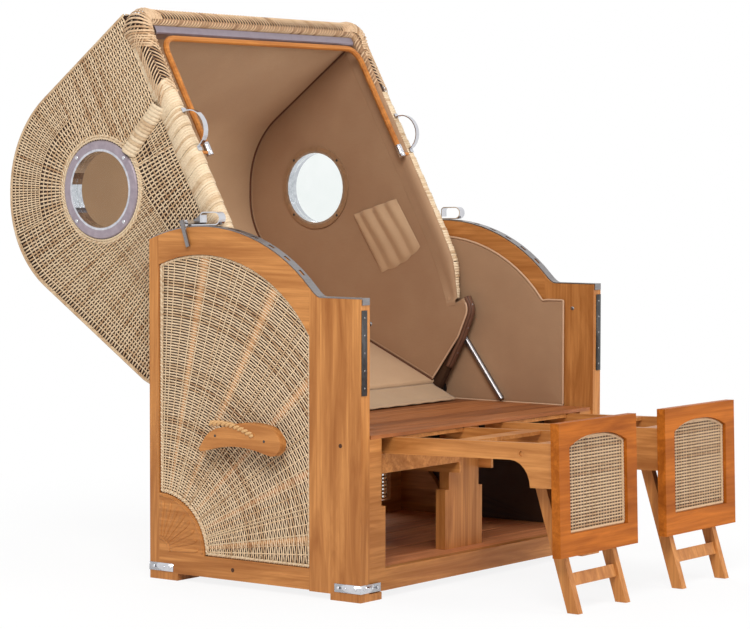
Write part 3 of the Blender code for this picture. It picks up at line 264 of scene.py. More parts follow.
def wood(name, axis, light, dark, plank=None, shine=0.28):
    """Oiled hardwood with its grain along an axis.

    plank is (axis, start, pitch) where boards lie side by side.
    """
    shade = Shade(name)
    along = "xyz".index(axis)
    slow = shade.stretched([0.9 if k == along else 9.0 for k in range(3)])
    fine = shade.stretched([2.5 if k == along else 120.0 for k in range(3)])
    figure = shade.noise(slow, 2.4, 5.0, 0.6, 0.9)
    if plank:
        across, start, pitch = plank
        edges = shade.node("SeparateXYZ", "XYZ".index(across.upper()), Vector=shade.place)
        board = shade.math("FLOOR", shade.math("DIVIDE", shade.math("SUBTRACT", edges, start), pitch))
        shift = shade.node("TexWhiteNoise", 0, {"noise_dimensions": "1D"}, W=board)
        figure = shade.math("ADD", figure, shade.math("MULTIPLY", shade.math("SUBTRACT", shift, 0.5), 0.34))
    streak = shade.noise(fine, 1.0, 3.0, 0.6)
    patch = shade.noise(shade.place, 3.1, 2.0)
    middle = tuple((a + b) / 2 for a, b in zip(light, dark))
    colour = shade.ramp(figure, (0.30, dark), (0.47, middle), (0.62, light), (0.80, middle))
    colour = shade.stain(colour, dark, streak, 0.5, 0.35, 0.62)
    colour = shade.stain(colour, dark, patch, 0.16, 0.35, 0.65)
    shade.bump(shade.math("ADD", streak, shade.math("MULTIPLY", figure, 0.5)), 0.25, 0.0006)
    gloss = shade.spread(streak, 0.52, 0.40)
    return shade.finish(colour, gloss, Specular_IOR_Level=shine)


def cane(name, light, middle, dark):
    """Split cane: every strand has its own tone, with darker nodes and fine lines along it."""
    shade = Shade(name)
    own = shade.node("NewGeometry", "Random Per Island")
    blotch = shade.noise(shade.place, 26.0, 3.0, 0.6)
    tone = shade.math("ADD", shade.math("MULTIPLY", own, 0.6), shade.math("MULTIPLY", blotch, 0.55))
    colour = shade.ramp(tone, (0.16, dark), (0.34, middle), (0.58, light), (1.0, light))
    line = shade.noise(shade.stretched((420.0, 60.0, 420.0)), 1.0, 2.0)
    colour = shade.stain(colour, dark, line, 0.35, 0.33, 0.5)
    shade.bump(line, 0.3, 0.0005)
    gloss = shade.spread(blotch, 0.46, 0.62)
    return shade.finish(colour, gloss, Specular_IOR_Level=0.45)


def cloth(name, colour, shadow, thread=0.0011):
    """Close-woven canvas with slight clouding."""
    shade = Shade(name)
    scale = 2 * pi / thread
    axes = [shade.node("SeparateXYZ", k, Vector=shade.place) for k in range(3)]
    parts = [shade.math("SINE", shade.math("MULTIPLY", axis, scale)) for axis in axes]
    warp = shade.math("MULTIPLY", shade.math("ADD", parts[0], parts[1]), parts[2])
    cloud = shade.noise(shade.place, 5.0, 3.0, 0.6)
    slub = shade.noise(shade.stretched((60.0, 60.0, 900.0)), 1.0, 2.0)
    mixed = shade.stain(colour, shadow, cloud, 0.55, 0.34, 0.66)
    mixed = shade.stain(mixed, shadow, slub, 0.22, 0.3, 0.55)
    shade.bump(shade.math("ADD", warp, shade.math("MULTIPLY", slub, 1.5)), 0.22, 0.0004)
    gloss = shade.spread(cloud, 0.72, 0.86)
    return shade.finish(mixed, gloss, Sheen_Weight=0.12, Sheen_Roughness=0.5, Specular_IOR_Level=0.3)


def metal(name, colour, smudge, low, high, brushed=(40.0, 40.0, 40.0)):
    """Metal with handling marks, from polished chrome to satin alloy."""
    shade = Shade(name)
    mark = shade.noise(shade.stretched(brushed), 1.0, 5.0, 0.6)
    tone = shade.stain(colour, smudge, mark, 0.5, 0.35, 0.7)
    gloss = shade.spread(mark, low, high)
    shade.bump(mark, 0.08, 0.0003)
    return shade.finish(tone, gloss, Metallic=1.0)


def glass(name):
    shade = Shade(name)
    wipe = shade.noise(shade.place, 9.0, 4.0, 0.6)
    gloss = shade.spread(wipe, 0.0, 0.05, 0.4, 0.8)
    colour = shade.ramp(wipe, (0.3, tint(246, 250, 249)), (0.8, tint(238, 244, 242)))
    return shade.finish(colour, gloss, Transmission_Weight=1.0, IOR=1.12, Specular_IOR_Level=0.5)


def rubber(name, colour, worn):
    shade = Shade(name)
    scuff = shade.noise(shade.place, 55.0, 5.0, 0.65)
    tone = shade.ramp(scuff, (0.4, colour), (0.75, worn))
    shade.bump(scuff, 0.15, 0.0004)
    return shade.finish(tone, shade.spread(scuff, 0.38, 0.6))


def port_metal(name):
    """A chrome sleeve between a lilac flange outside and a taupe one inside."""
    shade = Shade(name)
    middle = hood_place(0.0, *PORT)
    x, y, z = (shade.node("SeparateXYZ", k, Vector=shade.place) for k in range(3))
    off_y, off_z = shade.math("SUBTRACT", y, float(middle[1])), shade.math("SUBTRACT", z, float(middle[2]))
    squares = (shade.math("MULTIPLY", off, off) for off in (off_y, off_z))
    away = shade.math("SQRT", shade.math("ADD", *squares))
    flange = shade.math("GREATER_THAN", away, PORT_SLEEVE)
    outside = shade.math("GREATER_THAN", shade.math("ABSOLUTE", x), HOOD_HALF - 0.010)
    mark = shade.noise(shade.place, 60.0, 4.0, 0.6)
    lilac = shade.ramp(mark, (0.3, tint(146, 133, 142)), (0.7, tint(166, 152, 160)))
    taupe = shade.ramp(mark, (0.3, tint(152, 118, 88)), (0.7, tint(168, 133, 101)))
    chrome = shade.ramp(mark, (0.3, tint(186, 187, 194)), (0.7, tint(218, 218, 224)))
    colour = shade.mix(flange, chrome, shade.mix(outside, taupe, lilac))
    bare = shade.math("SUBTRACT", 1.0, shade.math("MULTIPLY", flange, 0.75))
    shade.feed(shade.surface.inputs["Metallic"], bare)
    shade.bump(mark, 0.05, 0.0003)
    return shade.finish(colour, shade.spread(flange, 0.10, 0.42, 0.0, 1.0))


TEAK, TEAK_DARK = tint(210, 144, 80), tint(154, 92, 40)
DECK, DECK_DARK = tint(182, 113, 64), tint(120, 66, 32)
WOODS = {axis: wood("oiled_wood_" + axis, axis, TEAK, TEAK_DARK) for axis in "xyz"}
REST_WOOD = wood("rest_wood", "x", tint(192, 108, 34), tint(138, 70, 16), shine=0.1)
TRIM = wood("trim_wood", "z", tint(124, 88, 70), tint(100, 68, 52))
PLUG_WOOD = wood("plug_wood", "x", tint(96, 56, 28), tint(62, 34, 16))
BOW_WOOD = wood("bow_wood", "x", tint(214, 140, 66), tint(158, 90, 34))
DECK_PITCH = (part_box("seat_deck")[1].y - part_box("seat_deck")[0].y) / 7
DECK_WOOD = wood("deck_wood", "x", DECK, DECK_DARK, ("y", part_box("seat_deck")[0].y, DECK_PITCH))
FLOOR_PITCH = (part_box("floor_boards")[1].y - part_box("floor_boards")[0].y) / 7
# floor boards made lighter than the frame's wood: painted light in the shade inside the base
FLOOR_WOOD_PAINTED_LIGHT = wood("floor_wood_painted_light", "x", tint(236, 158, 106), tint(178, 108, 68),
                  ("y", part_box("floor_boards")[0].y, FLOOR_PITCH))
CANE = cane("split_cane", tint(234, 206, 170), tint(214, 180, 140), tint(160, 112, 72))
STAKE_CANE = cane("stake_cane", tint(226, 200, 164), tint(208, 174, 134), tint(158, 112, 70))
REST_CANE = cane("rest_cane", tint(208, 176, 140), tint(186, 150, 112), tint(138, 94, 58))
PLAIT_CANE = cane("plait_cane", tint(220, 186, 148), tint(188, 148, 108), tint(116, 76, 46))
FLAT_CANE = cane("flat_cane", tint(228, 205, 172), tint(212, 184, 148), tint(172, 132, 92))
ORANGE_CANE = cane("orange_cane", tint(206, 150, 96), tint(184, 122, 72), tint(130, 78, 42))
# near-black cane: painted shade that shows in the gaps between strands
PAINTED_SHADE_CORE = cane("cane_core_painted_shade", tint(62, 37, 20), tint(48, 27, 15), tint(34, 18, 9))
# the lining cloth in a lighter copy for the padded back and the pocket: painted light
BACK_CANVAS_PAINTED_LIGHT = cloth("back_canvas_painted_light", tint(193, 158, 123), tint(179, 143, 109))
CANVAS = cloth("taupe_canvas", tint(172, 136, 104), tint(156, 120, 90))
# the lining cloth in a darker copy for the hood's inner walls: painted shade
SIDE_CANVAS_PAINTED_SHADE = cloth("side_canvas_painted_shade", tint(164, 129, 98), tint(150, 110, 80))
WELT = cloth("dark_welt", tint(104, 62, 38), tint(80, 46, 28))
LIGHT_WELT = cloth("light_welt", tint(206, 170, 138), tint(188, 150, 118))
ROPE = cane("rope_fibre", tint(214, 168, 112), tint(194, 146, 92), tint(150, 104, 62))
PALE_CANVAS = cloth("pale_canvas", tint(178, 148, 117), tint(166, 135, 104))
CHROME = metal("chrome", tint(214, 214, 218), tint(190, 190, 196), 0.10, 0.20)
STEEL = metal("brushed_steel", tint(150, 146, 146), tint(112, 108, 108), 0.28, 0.42, (30.0, 200.0, 200.0))
ALLOY = metal("lilac_alloy", tint(160, 148, 156), tint(136, 124, 132), 0.34, 0.48)
BLACK = rubber("black_paint", tint(34, 32, 32), tint(70, 66, 64))
GLASS = glass("pane_glass")
PORT_METAL = port_metal("porthole_metal")


# Pieces made of many small forms

ODD_WAY = (0.31, 0.57, 0.76)    # a direction that no path or screw follows


class Bundle:
    """Strands, tubes and skins that gather into one mesh object."""

    def __init__(self):
        self.points, self.quads, self.caps, self.count = [], [], [], 0

    def skin(self, places, solid=False):
        """A skin over places[row, column], where a row is one section.

        A solid's sections are closed loops, and its ends are capped.
        """
        places = np.asarray(places, float)
        rows, columns = places.shape[:2]
        ids = np.arange(rows * columns).reshape(rows, columns) + self.count
        near, far = ids[:-1], ids[1:]
        if solid:
            self.caps += [ids[0, ::-1].tolist(), ids[-1].tolist()]
            near, far = (np.concatenate((part, part[:, :1]), axis=1) for part in (near, far))
        quads = np.stack([near[:, :-1], near[:, 1:], far[:, 1:], far[:, :-1]], -1).reshape(-1, 4)
        self.points.append(places.reshape(-1, 3))
        self.quads.append(quads)
        self.count += rows * columns

    def strand(self, path, normal, width, thick, sides=4):
        """A strand of oval section whose broad side faces along normal."""
        path = np.asarray(path, float)
        normal = np.broadcast_to(np.asarray(normal, float), path.shape)
        tangent = np.gradient(path, axis=0)
        tangent /= np.linalg.norm(tangent, axis=1, keepdims=True) + 1e-12
        across = np.cross(tangent, normal)
        across /= np.linalg.norm(across, axis=1, keepdims=True) + 1e-12
        up = np.cross(across, tangent)
        turns = np.arange(sides) * 2 * pi / sides
        half_width = np.broadcast_to(np.asarray(width, float) / 2, path.shape[:1])
        half_thick = np.broadcast_to(np.asarray(thick, float) / 2, path.shape[:1])
        ring = (across[:, None] * (half_width[:, None] * np.cos(turns))[..., None]
                + up[:, None] * (half_thick[:, None] * np.sin(turns))[..., None])
        self.skin((path[:, None] + ring)[:, ::-1], solid=True)

    def tube(self, path, radius, sides):
        path = np.asarray(path, float)
        tangent = path[min(1, len(path) - 1)] - path[0]
        broad = 2 * np.asarray(radius)
        self.strand(path, unit(np.cross(tangent, ODD_WAY)), broad, broad, sides)

    def build(self, name, body, look, slot="rattan"):
        mesh = bpy.data.meshes.new(name)
        faces = np.concatenate(self.quads).tolist() + self.caps
        mesh.from_pydata(np.concatenate(self.points).tolist(), [], faces)
        mesh.polygons.foreach_set("use_smooth", [True] * len(mesh.polygons))
        mesh.materials.append(look)
        piece = bpy.data.objects.new(name, mesh)
        bpy.context.scene.collection.objects.link(piece)
        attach(piece, body)
        return piece


def runs(mask):
    """Index pairs of the stretches where mask is true."""
    edges = np.flatnonzero(np.diff(np.concatenate(([0], mask.astype(int), [0]))))
    return [(a, b) for a, b in zip(edges[::2], edges[1::2]) if b - a > 1]


def stretches(values, heights, inside):
    """The parts of a line of values that are inside, each run out to the very edge."""
    mask = inside(values)
    for a, b in runs(mask):
        kept, lift = list(values[a:b]), list(heights[a:b])
        for end, outer in ((0, a - 1), (-1, b)):
            if not 0 <= outer < len(values):
                continue
            near, far = kept[end], values[outer]
            for _ in range(7):
                middle = (near + far) / 2
                if inside(np.array([middle]))[0]:
                    near = middle
                else:
                    far = middle
            kept.insert(0 if end == 0 else len(kept), near)
            lift.insert(0 if end == 0 else len(lift), 0.0)
        yield np.array(kept), np.array(lift)


def woven(weavers, stakes, place, normal, inside, sizes, bundle, stake_bundle, level=None):
    """Weavers at each value of weavers cross stakes at each value of stakes, over one and under the next.

    place(weaver value, stake value, height) gives points; sizes are the weavers' width and thickness, the
    stakes' width and thickness, and how far a weaver rises. level(weaver values, stake values) is how often
    the rows halve.
    """
    width, thick, stake_width, stake_thick, rise = sizes
    halves = [np.linspace(a, b, 2, endpoint=False) for a, b in zip(stakes, stakes[1:])]
    between = np.concatenate(halves + [stakes[-1:]])
    for i, weaver in enumerate(weavers):
        row = np.full(len(between), weaver)
        steps = np.zeros(len(between), int) if level is None else level(row, between)
        kept = (i % (1 << steps)) == 0
        parity = (i >> steps) + np.arange(len(between)) // 2
        heights = np.where(np.arange(len(between)) % 2 == 0, rise * (1 - 2 * (parity % 2)), 0.0)
        last = len(between) if kept.all() else int(np.argmin(kept))
        if last < 2:
            continue
        shown = stretches(between[:last], heights[:last], lambda v: inside(np.full(len(v), weaver), v))
        for values, lift in shown:
            rows = np.full(len(values), weaver)
            broad = width(rows, values) if callable(width) else width
            bundle.strand(place(rows, values, lift), normal(rows, values), broad, thick)
    level_line = np.zeros(len(weavers))
    for stake in stakes:
        for values, _ in stretches(weavers, level_line, lambda v: inside(v, np.full(len(v), stake))):
            columns = np.full(len(values), stake)
            points = place(values, columns, 0.0)
            stake_bundle.strand(points, normal(values, columns), stake_width, stake_thick)


def rope(bundle, path, normal, radius, lay, strands=2, steps=6):
    """Strands twisted into a rope that follows a path."""
    path = resample(path, lay / steps)
    tangent = np.gradient(path, axis=0)
    normal = np.broadcast_to(np.asarray(normal, float), path.shape)
    across = unit(np.cross(tangent, normal))
    turn = np.arange(len(path)) * 2 * pi / steps
    for k in range(strands):
        lag = turn + 2 * pi * k / strands
        offset = across * np.cos(lag)[:, None] + normal * np.sin(lag)[:, None]
        bundle.strand(path + offset * radius * 0.5, normal, radius * 1.15, radius * 1.15, 5)


def sink(node, depth, look):
    """Leaves a woven CAD node as a dark core behind its strands, painted shade for the gaps between them."""
    NODES[node].modifiers.new("sunk", "DISPLACE").strength = -depth
    paint(node, look)


def paint(node, look):
    NODES[node].data.materials.clear()
    NODES[node].data.materials.append(look)


def ease(node, width=0.0022):
    """Rounds off a wooden node's sharp edges."""
    bevel = NODES[node].modifiers.new("eased", "BEVEL")
    bevel.width = width
    bevel.segments = 2
    bevel.limit_method = "ANGLE"
    bevel.angle_limit = radians(35)


# Camera, floor and light

CAMERA_PLACE = (-6.3031, AXIS_Y - 4.9066, 1.1771)
CAMERA_TURN = radians(-52.982)
CAMERA_DROP = radians(3.168)
CAMERA_ROLL = radians(0.073)
CAMERA_LENS = 128.73

lens = bpy.data.cameras.new("camera")
lens.lens = CAMERA_LENS
lens.sensor_width = 36.0
lens.clip_end = 60.0
camera = bpy.data.objects.new("camera", lens)
camera.matrix_world = (Matrix.Translation(CAMERA_PLACE) @ Matrix.Rotation(CAMERA_TURN, 4, "Z")
                       @ Matrix.Rotation(pi / 2 - CAMERA_DROP, 4, "X") @ Matrix.Rotation(CAMERA_ROLL, 4, "Z"))
bpy.context.scene.collection.objects.link(camera)
bpy.context.scene.camera = camera


def seen_white(tree, base, white, share):
    """Mixes in plain white for what the camera, a reflection or a pane sees of a surface."""
    path = add_node(tree, "LightPath").node.outputs
    seen = path["Is Camera Ray"]
    for ray in ("Is Glossy Ray", "Is Transmission Ray"):
        seen = add_node(tree, "Math", 0, {"operation": "MAXIMUM"}, i0=seen, i1=path[ray])
    share = add_node(tree, "Math", 0, {"operation": "MULTIPLY"}, i0=seen, i1=share)
    return add_node(tree, "MixShader", 0, i0=share, i1=base, i2=white)


WHITE = (1.0, 1.0, 1.0, 1.0)
FLOOR_REACH = 30.0
SHADOW_FADE = (0.86, 1.0, 1.2, 2.6)    # share of white near the chair and far off, and where each begins
SKY_STRENGTH = 0.50
LAMP_TARGET = Vector((0.0, 0.0, 0.8))
LAMPS = (("key", (-4.2, -3.0, 4.6), 2.6, 250.0), ("front", (1.6, -6.0, 2.6), 3.0, 150.0),
         ("rear", (3.0, 4.5, 4.5), 3.0, 150.0))


def studio():
    """A white floor that keeps a soft shadow, a white surround and three broad lamps."""
    mesh = bpy.data.meshes.new("floor")
    corners = [(a * FLOOR_REACH, b * FLOOR_REACH, 0) for a, b in ((-1, -1), (1, -1), (1, 1), (-1, 1))]
    mesh.from_pydata(corners, [], [(0, 1, 2, 3)])
    floor = bpy.data.objects.new("floor", mesh)
    bpy.context.scene.collection.objects.link(floor)
    shade = Shade("floor_paper")
    away = shade.node("VectorMath", "Value", {"operation": "LENGTH"}, i0=shade.place)
    fade = shade.spread(away, *SHADOW_FADE)
    mixed = seen_white(shade.tree, shade.surface.outputs[0], shade.node("Emission"), fade)
    shade.feed(shade.tree.nodes["Material Output"].inputs[0], mixed)
    mesh.materials.append(shade.finish((0.93, 0.93, 0.93, 1), 0.9, Specular_IOR_Level=0.1))

    world = bpy.data.worlds.new("studio")
    bpy.context.scene.world = world
    world.use_nodes = True
    tree = world.node_tree
    dim = tree.nodes["Background"]
    dim.inputs["Color"].default_value = WHITE
    dim.inputs["Strength"].default_value = SKY_STRENGTH
    white = add_node(tree, "Background", Color=WHITE, Strength=1.0)
    feed(tree, tree.nodes["World Output"].inputs[0], seen_white(tree, dim.outputs[0], white, 1.0))

    for name, place, size, power in LAMPS:
        lamp = bpy.data.lights.new(name, "AREA")
        lamp.size = size
        lamp.energy = power
        light = bpy.data.objects.new(name, lamp)
        light.location = place
        light.rotation_euler = (LAMP_TARGET - Vector(place)).to_track_quat("-Z", "Y").to_euler()
        bpy.context.scene.collection.objects.link(light)


studio()
bpy.context.scene.view_settings.view_transform = "Standard"


# The woven hood

def crossing(start_a, way_a, start_b, way_b):
    """Where two lines in the hood's side plane meet."""
    return start_a + way_a * ((start_b - start_a).cross(way_b) / way_a.cross(way_b))


def hood_profile(roof_drop=0.0, shoulder_drop=0.0, back_drop=0.0, rise=0.0):
    """Corners of the hood's side outline, with roof, shoulder and back each moved inwards."""
    lines = []
    for point, way, drop in (((0.0, ROOF_LEVEL), (1.0, -ROOF_SLOPE), roof_drop),
                             (SHOULDER, (cos(SHOULDER_FALL), -sin(SHOULDER_FALL)), shoulder_drop),
                             (BACK_FOOT, (-BACK_LEAN, -1.0), back_drop)):
        way = Vector(way).normalized()
        lines.append((Vector(point) + Vector((way.y, -way.x)) * drop, way))
    roof, shoulder, back = lines
    mouth = crossing(*roof, Vector((MOUTH_Y, 0.0)), Vector((0.0, 1.0)))
    foot = crossing(*back, Vector((0.0, BACK_FOOT[1] + rise)), Vector((1.0, 0.0)))
    return [(*mouth, 0), (*crossing(*roof, *shoulder), CROWN_RADIUS - roof_drop),
            (*crossing(*shoulder, *back), NAPE_RADIUS - back_drop), (*foot, 0.05)]


SHELL_PATH = rounded([*hood_profile(), (*SHELL_FOOT, 0)], 24)
PAD_DROPS = (SHELL_INSIDE + ROOF_PAD, SHELL_INSIDE + SHOULDER_PAD, SHELL_INSIDE + BACK_PAD, 0.035)
PAD_PATH = rounded([*hood_profile(*PAD_DROPS), (*LIP, 0)], 24)
WEAVER_PITCH = 0.0090
STAKE_PITCH = 0.0165
WEAVE_SIZES = (0.0050, 0.0030, 0.0042, 0.0018, 0.0020)
STRAND_CLEAR = 0.0003     # strand bottoms over the core
BRACE_Z = 0.868           # where the brace leaves the roll
PART_Z = 0.745            # level on the mouth of the line that parts the roof's strands from the back's
TURN = (0.4655, 0.800)    # where that line meets the outline, behind the porthole


def clear_of_port(y, z, margin=0.010):
    return np.hypot(y - PORT[0], z - PORT[1]) > PORT_FLANGE + margin


def wall_fields():
    """Three fields of strands on a hood side, each as rows of outer and inner ends.

    The roof's strands hang from the outline to the brace and gather at the porthole, the back's run to the
    mouth, and a few spread from the porthole to the mouth between the two.
    """
    outline = resample(SHELL_PATH, WEAVER_PITCH)
    turn = int(np.argmin(np.linalg.norm(outline - np.array(TURN), axis=1)))
    roof, back = outline[1:turn], resample(outline[turn:], WEAVER_PITCH * 1.2)
    share = np.clip((roof[:, 0] - MOUTH_Y) / (PORT[0] - MOUTH_Y), 0, 1)[:, None]
    hang = np.array((MOUTH_Y, BRACE_Z)) * (1 - share) + np.array(PORT) * share
    run = np.linspace(0, 1, len(back))
    mouth = np.stack([np.interp(run, (0, 0.85, 1), (MOUTH_Y, MOUTH_Y, -0.190)),
                      np.interp(run, (0, 0.56, 0.85, 1), (PART_Z, 0.53, 0.36, 0.19))], 1)
    levels = np.arange(BRACE_Z, PART_Z, -WEAVER_PITCH)
    spread = np.stack([np.full(len(levels), MOUTH_Y), levels], 1)
    return (roof, hang), (back, mouth), (spread, np.broadcast_to(PORT, spread.shape))


def weave_field(outer, inner, side, strands, rails):
    """Weaves one field of strands over stakes that lie at even shares of their length."""
    rows = np.arange(len(outer), dtype=float)
    face = side * (HOOD_HALF + STRAND_CLEAR)
    count = int(np.linalg.norm(outer - inner, axis=1).max() / STAKE_PITCH)
    stakes = np.concatenate(([0.008], np.linspace(0.045, 0.995, count)))

    def point(row, share):
        ends = [[np.interp(row, rows, part[:, k]) for k in (0, 1)] for part in (outer, inner)]
        return tuple(a * (1 - share) + b * share for a, b in zip(*ends))

    def place(row, share, height):
        return hood_place(face + side * height, *point(row, share))

    def pitch(row, share):
        low, high = np.maximum(row - 0.5, 0.0), np.minimum(row + 0.5, len(outer) - 1)
        (y_a, z_a), (y_b, z_b) = point(low, share), point(high, share)
        return np.maximum(np.hypot(y_b - y_a, z_b - z_a) / (high - low), 1e-6)

    def level(row, share):
        return np.clip(np.ceil(np.log2(WEAVER_PITCH * 0.68 / pitch(row, share))), 0, 5).astype(int)

    def width(row, share):
        return np.clip(pitch(row, share) * 2.0 ** level(row, share) * 0.58, 0.0030, 0.0054)

    def inside(row, share):
        return clear_of_port(*point(row, share))

    woven(rows, stakes, place, lambda row, share: (side, 0.0, 0.0), inside, (width, *WEAVE_SIZES[1:]),
          strands, rails, level)


def hood_wall_weave(label, side):
    face = side * (HOOD_HALF + STRAND_CLEAR)
    strands, rails, bands = Bundle(), Bundle(), Bundle()
    for outer, inner in wall_fields():
        weave_field(outer, inner, side, strands, rails)
    for ring, radius in ((0.0050, 0.0042), (0.0125, 0.0046)):
        circle = np.array(arc(PORT, PORT_FLANGE + ring, 0.0, 2 * pi, 73))
        rope(bands, hood_place(face, *circle.T), (side, 0.0, 0.0), radius, 0.020)
    edge = resample(SHELL_PATH, 0.006)
    bands.strand(hood_place(face + side * 0.001, *edge.T), (side, 0.0, 0.0), 0.0085, 0.0042, 6)
    strands.build(label + "_hood_weave", "hood", CANE)
    rails.build(label + "_hood_stakes", "hood", STAKE_CANE)
    bands.build(label + "_hood_binding", "hood", FLAT_CANE)
    sink(label + "_hood_wall", 0.005, PAINTED_SHADE_CORE)


def hood_back_weave():
    """Weavers run across the back and roof, over stakes that run down it."""
    path = resample(SHELL_PATH, WEAVER_PITCH)
    outward = -in_plane_normals(path)
    rows = np.arange(len(path), dtype=float)
    stakes = np.linspace(-HOOD_HALF + 0.008, HOOD_HALF - 0.008, 45)

    def place(row, x, height):
        at = [np.interp(row, rows, path[:, k]) + (height + STRAND_CLEAR) * np.interp(row, rows, outward[:, k])
              for k in (0, 1)]
        return hood_place(x, *at)

    def normal(row, x):
        way = np.array([np.interp(row, rows, outward[:, k]) for k in (0, 1)])
        return hood_place(0.0, *way) - hood_place(0.0, 0.0, 0.0)

    strands, rails = Bundle(), Bundle()
    woven(rows, stakes, place, normal, lambda row, x: np.ones(np.shape(x), bool), WEAVE_SIZES, strands, rails)
    strands.build("hood_back_weave", "hood", CANE)
    rails.build("hood_back_stakes", "hood", STAKE_CANE)
    sink("hood_back", 0.005, PAINTED_SHADE_CORE)


for label, side in SIDES:
    hood_wall_weave(label, side)
hood_back_weave()


# The woven sides, footrest panels and rear

FAN_CENTRE = (STILE_FRONT, BOTTOM_RAIL_TOP)
FAN_RAYS = 31
FAN_PITCH = 0.0078
FAN_SIZES = (0.0046, 0.0030, 0.0040, 0.0018, 0.0016)


def in_side_opening(y, z):
    """True inside the opening of a side frame."""
    under_arch = np.where(z > AXIS_Z, np.hypot(y - AXIS_Y, z - AXIS_Z) < ARCH_RADIUS - ARCH_DEPTH, True)
    return ((y < STILE_FRONT) & (y > POST_REAR) & (z > BOTTOM_RAIL_TOP) & under_arch
            & (np.hypot(y - FAN_CENTRE[0], z - FAN_CENTRE[1]) > SUN_RADIUS))


def fan_border(face, inset=0.0045):
    """The line of the rope that borders a side frame's opening."""
    reach = ARCH_RADIUS - ARCH_DEPTH - inset
    rear, front, low = STILE_FRONT - inset, POST_REAR + inset, BOTTOM_RAIL_TOP + inset
    arch = arc((AXIS_Y, AXIS_Z), reach, acos((rear - AXIS_Y) / reach), acos((front - AXIS_Y) / reach), 40)
    corner = arc(FAN_CENTRE, SUN_RADIUS + inset, pi - 0.03, pi / 2 + 0.03, 16)
    path = np.array([*arch, (front, low), *corner, arch[0]])
    return joined(face, *path.T)


def fan_weave(label, side):
    """Arcs round the carved corner, over rays that spread from it."""
    face = side * (WEAVE_FACE + STRAND_CLEAR)

    def place(radius, turn, height):
        return joined(face + side * height, FAN_CENTRE[0] - radius * np.sin(turn),
                      FAN_CENTRE[1] + radius * np.cos(turn))

    def inside(radius, turn):
        points = place(radius, turn, 0.0)
        return in_side_opening(points[..., 1], points[..., 2])

    arcs = np.arange(SUN_RADIUS + 0.010, 0.95, FAN_PITCH)
    rays = np.linspace(radians(0.8), radians(89.2), FAN_RAYS)
    strands, rails, broad = Bundle(), Bundle(), Bundle()
    woven(arcs, rays, place, lambda r, t: (side, 0.0, 0.0), inside, FAN_SIZES, strands, rails)
    step = rays[1] - rays[0]
    for k in range(FAN_RAYS - 1):
        turn = rays[k] + step / 2
        for values, _ in stretches(arcs, np.zeros(len(arcs)), lambda v: inside(v, np.full(len(v), turn))):
            points = place(values, turn, 0.0)
            if k % 6 == 3:
                broad.strand(points - (side * 0.0016, 0, 0), (side, 0.0, 0.0), values * step * 0.78, 0.0014)
            elif k % 6 == 0:
                rails.strand(points + (side * 0.0020, 0, 0), (side, 0.0, 0.0), 0.0036, 0.0016)
    bands = Bundle()
    rope(bands, fan_border(face), (side, 0.0, 0.0), 0.0050, 0.017)
    strands.build(label + "_fan_strands", "base", CANE)
    rails.build(label + "_fan_rays", "base", STAKE_CANE)
    broad.build(label + "_fan_broad_rays", "base", ORANGE_CANE)
    bands.build(label + "_fan_border", "base", FLAT_CANE)
    sink(label + "_fan_weave", 0.004, PAINTED_SHADE_CORE)


REST_OPENING = (0.1423, -0.216, 0.012, 0.028)   # half width, low edge, spring of the arch, its rise
REST_WEAVE_Y = -0.5483
REST_PITCH = 0.0086
REST_BORDER = 0.004       # how far in the rope round the panel lies


def rest_top(x):
    """The arch over a footrest's panel."""
    half, _, spring, rise = REST_OPENING
    return spring + rise * (1 - np.minimum(np.abs(x) / half, 1.0) ** 2.6)


def in_rest_opening(x, z):
    half, low = REST_OPENING[:2]
    return (np.abs(x) < half) & (z > low) & (z < rest_top(x))


def rest_weave(label, side):
    """A basket weave in a footrest's arched panel."""
    weavers = np.arange(-0.211, 0.045, REST_PITCH)
    stakes = np.arange(-0.140, 0.1401, 0.0140)

    def place(z, x, height):
        return rest_place(side, x, REST_WEAVE_Y - STRAND_CLEAR - height, z)

    strands, rails = Bundle(), Bundle()
    woven(weavers, stakes, place, lambda z, x: (0.0, -1.0, 0.0), lambda z, x: in_rest_opening(x, z),
          (0.0048, 0.0026, 0.0042, 0.0016, 0.0013), strands, rails)
    edge, foot = REST_OPENING[0] - REST_BORDER, REST_OPENING[1] + REST_BORDER
    across = np.linspace(-edge, edge, 40)
    top = rest_top(across) - REST_BORDER
    outline = np.array([*zip(across, top), (edge, foot), (-edge, foot), (across[0], top[0])])
    bands = Bundle()
    rope(bands, place(outline[:, 1], outline[:, 0], 0.001), (0.0, -1.0, 0.0), 0.0046, 0.016)
    bands.build(label + "_rest_border", label + "_footrest", REST_CANE)
    strands.build(label + "_rest_strands", label + "_footrest", REST_CANE)
    rails.build(label + "_rest_stakes", label + "_footrest", REST_CANE)
    sink(label + "_footrest_weave", 0.002, PAINTED_SHADE_CORE)


def rear_weave():
    """An open weave in the rear frame that lets the light through."""
    low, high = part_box("rear_weave")
    middle = (low.y + high.y) / 2
    weavers = np.arange(low.z + 0.006, high.z - 0.003, 0.0115)
    stakes = np.linspace(low.x + 0.004, high.x - 0.004, 43)

    def place(z, x, height):
        return joined(x, middle + height, z)

    strands, rails = Bundle(), Bundle()
    woven(weavers, stakes, place, lambda z, x: (0.0, 1.0, 0.0), lambda z, x: np.ones(np.shape(x), bool),
          (0.0070, 0.0034, 0.0070, 0.0030, 0.0026), strands, rails)
    piece = strands.build("rear_strands", "base", CANE)
    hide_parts("rear_weave")
    rails.build("rear_stakes", "base", STAKE_CANE)


for label, side in SIDES:
    fan_weave(label, side)
    rest_weave(label, side)
rear_weave()


# The roll round the mouth: plaited over the top and the upper sides, wound with flat cane below

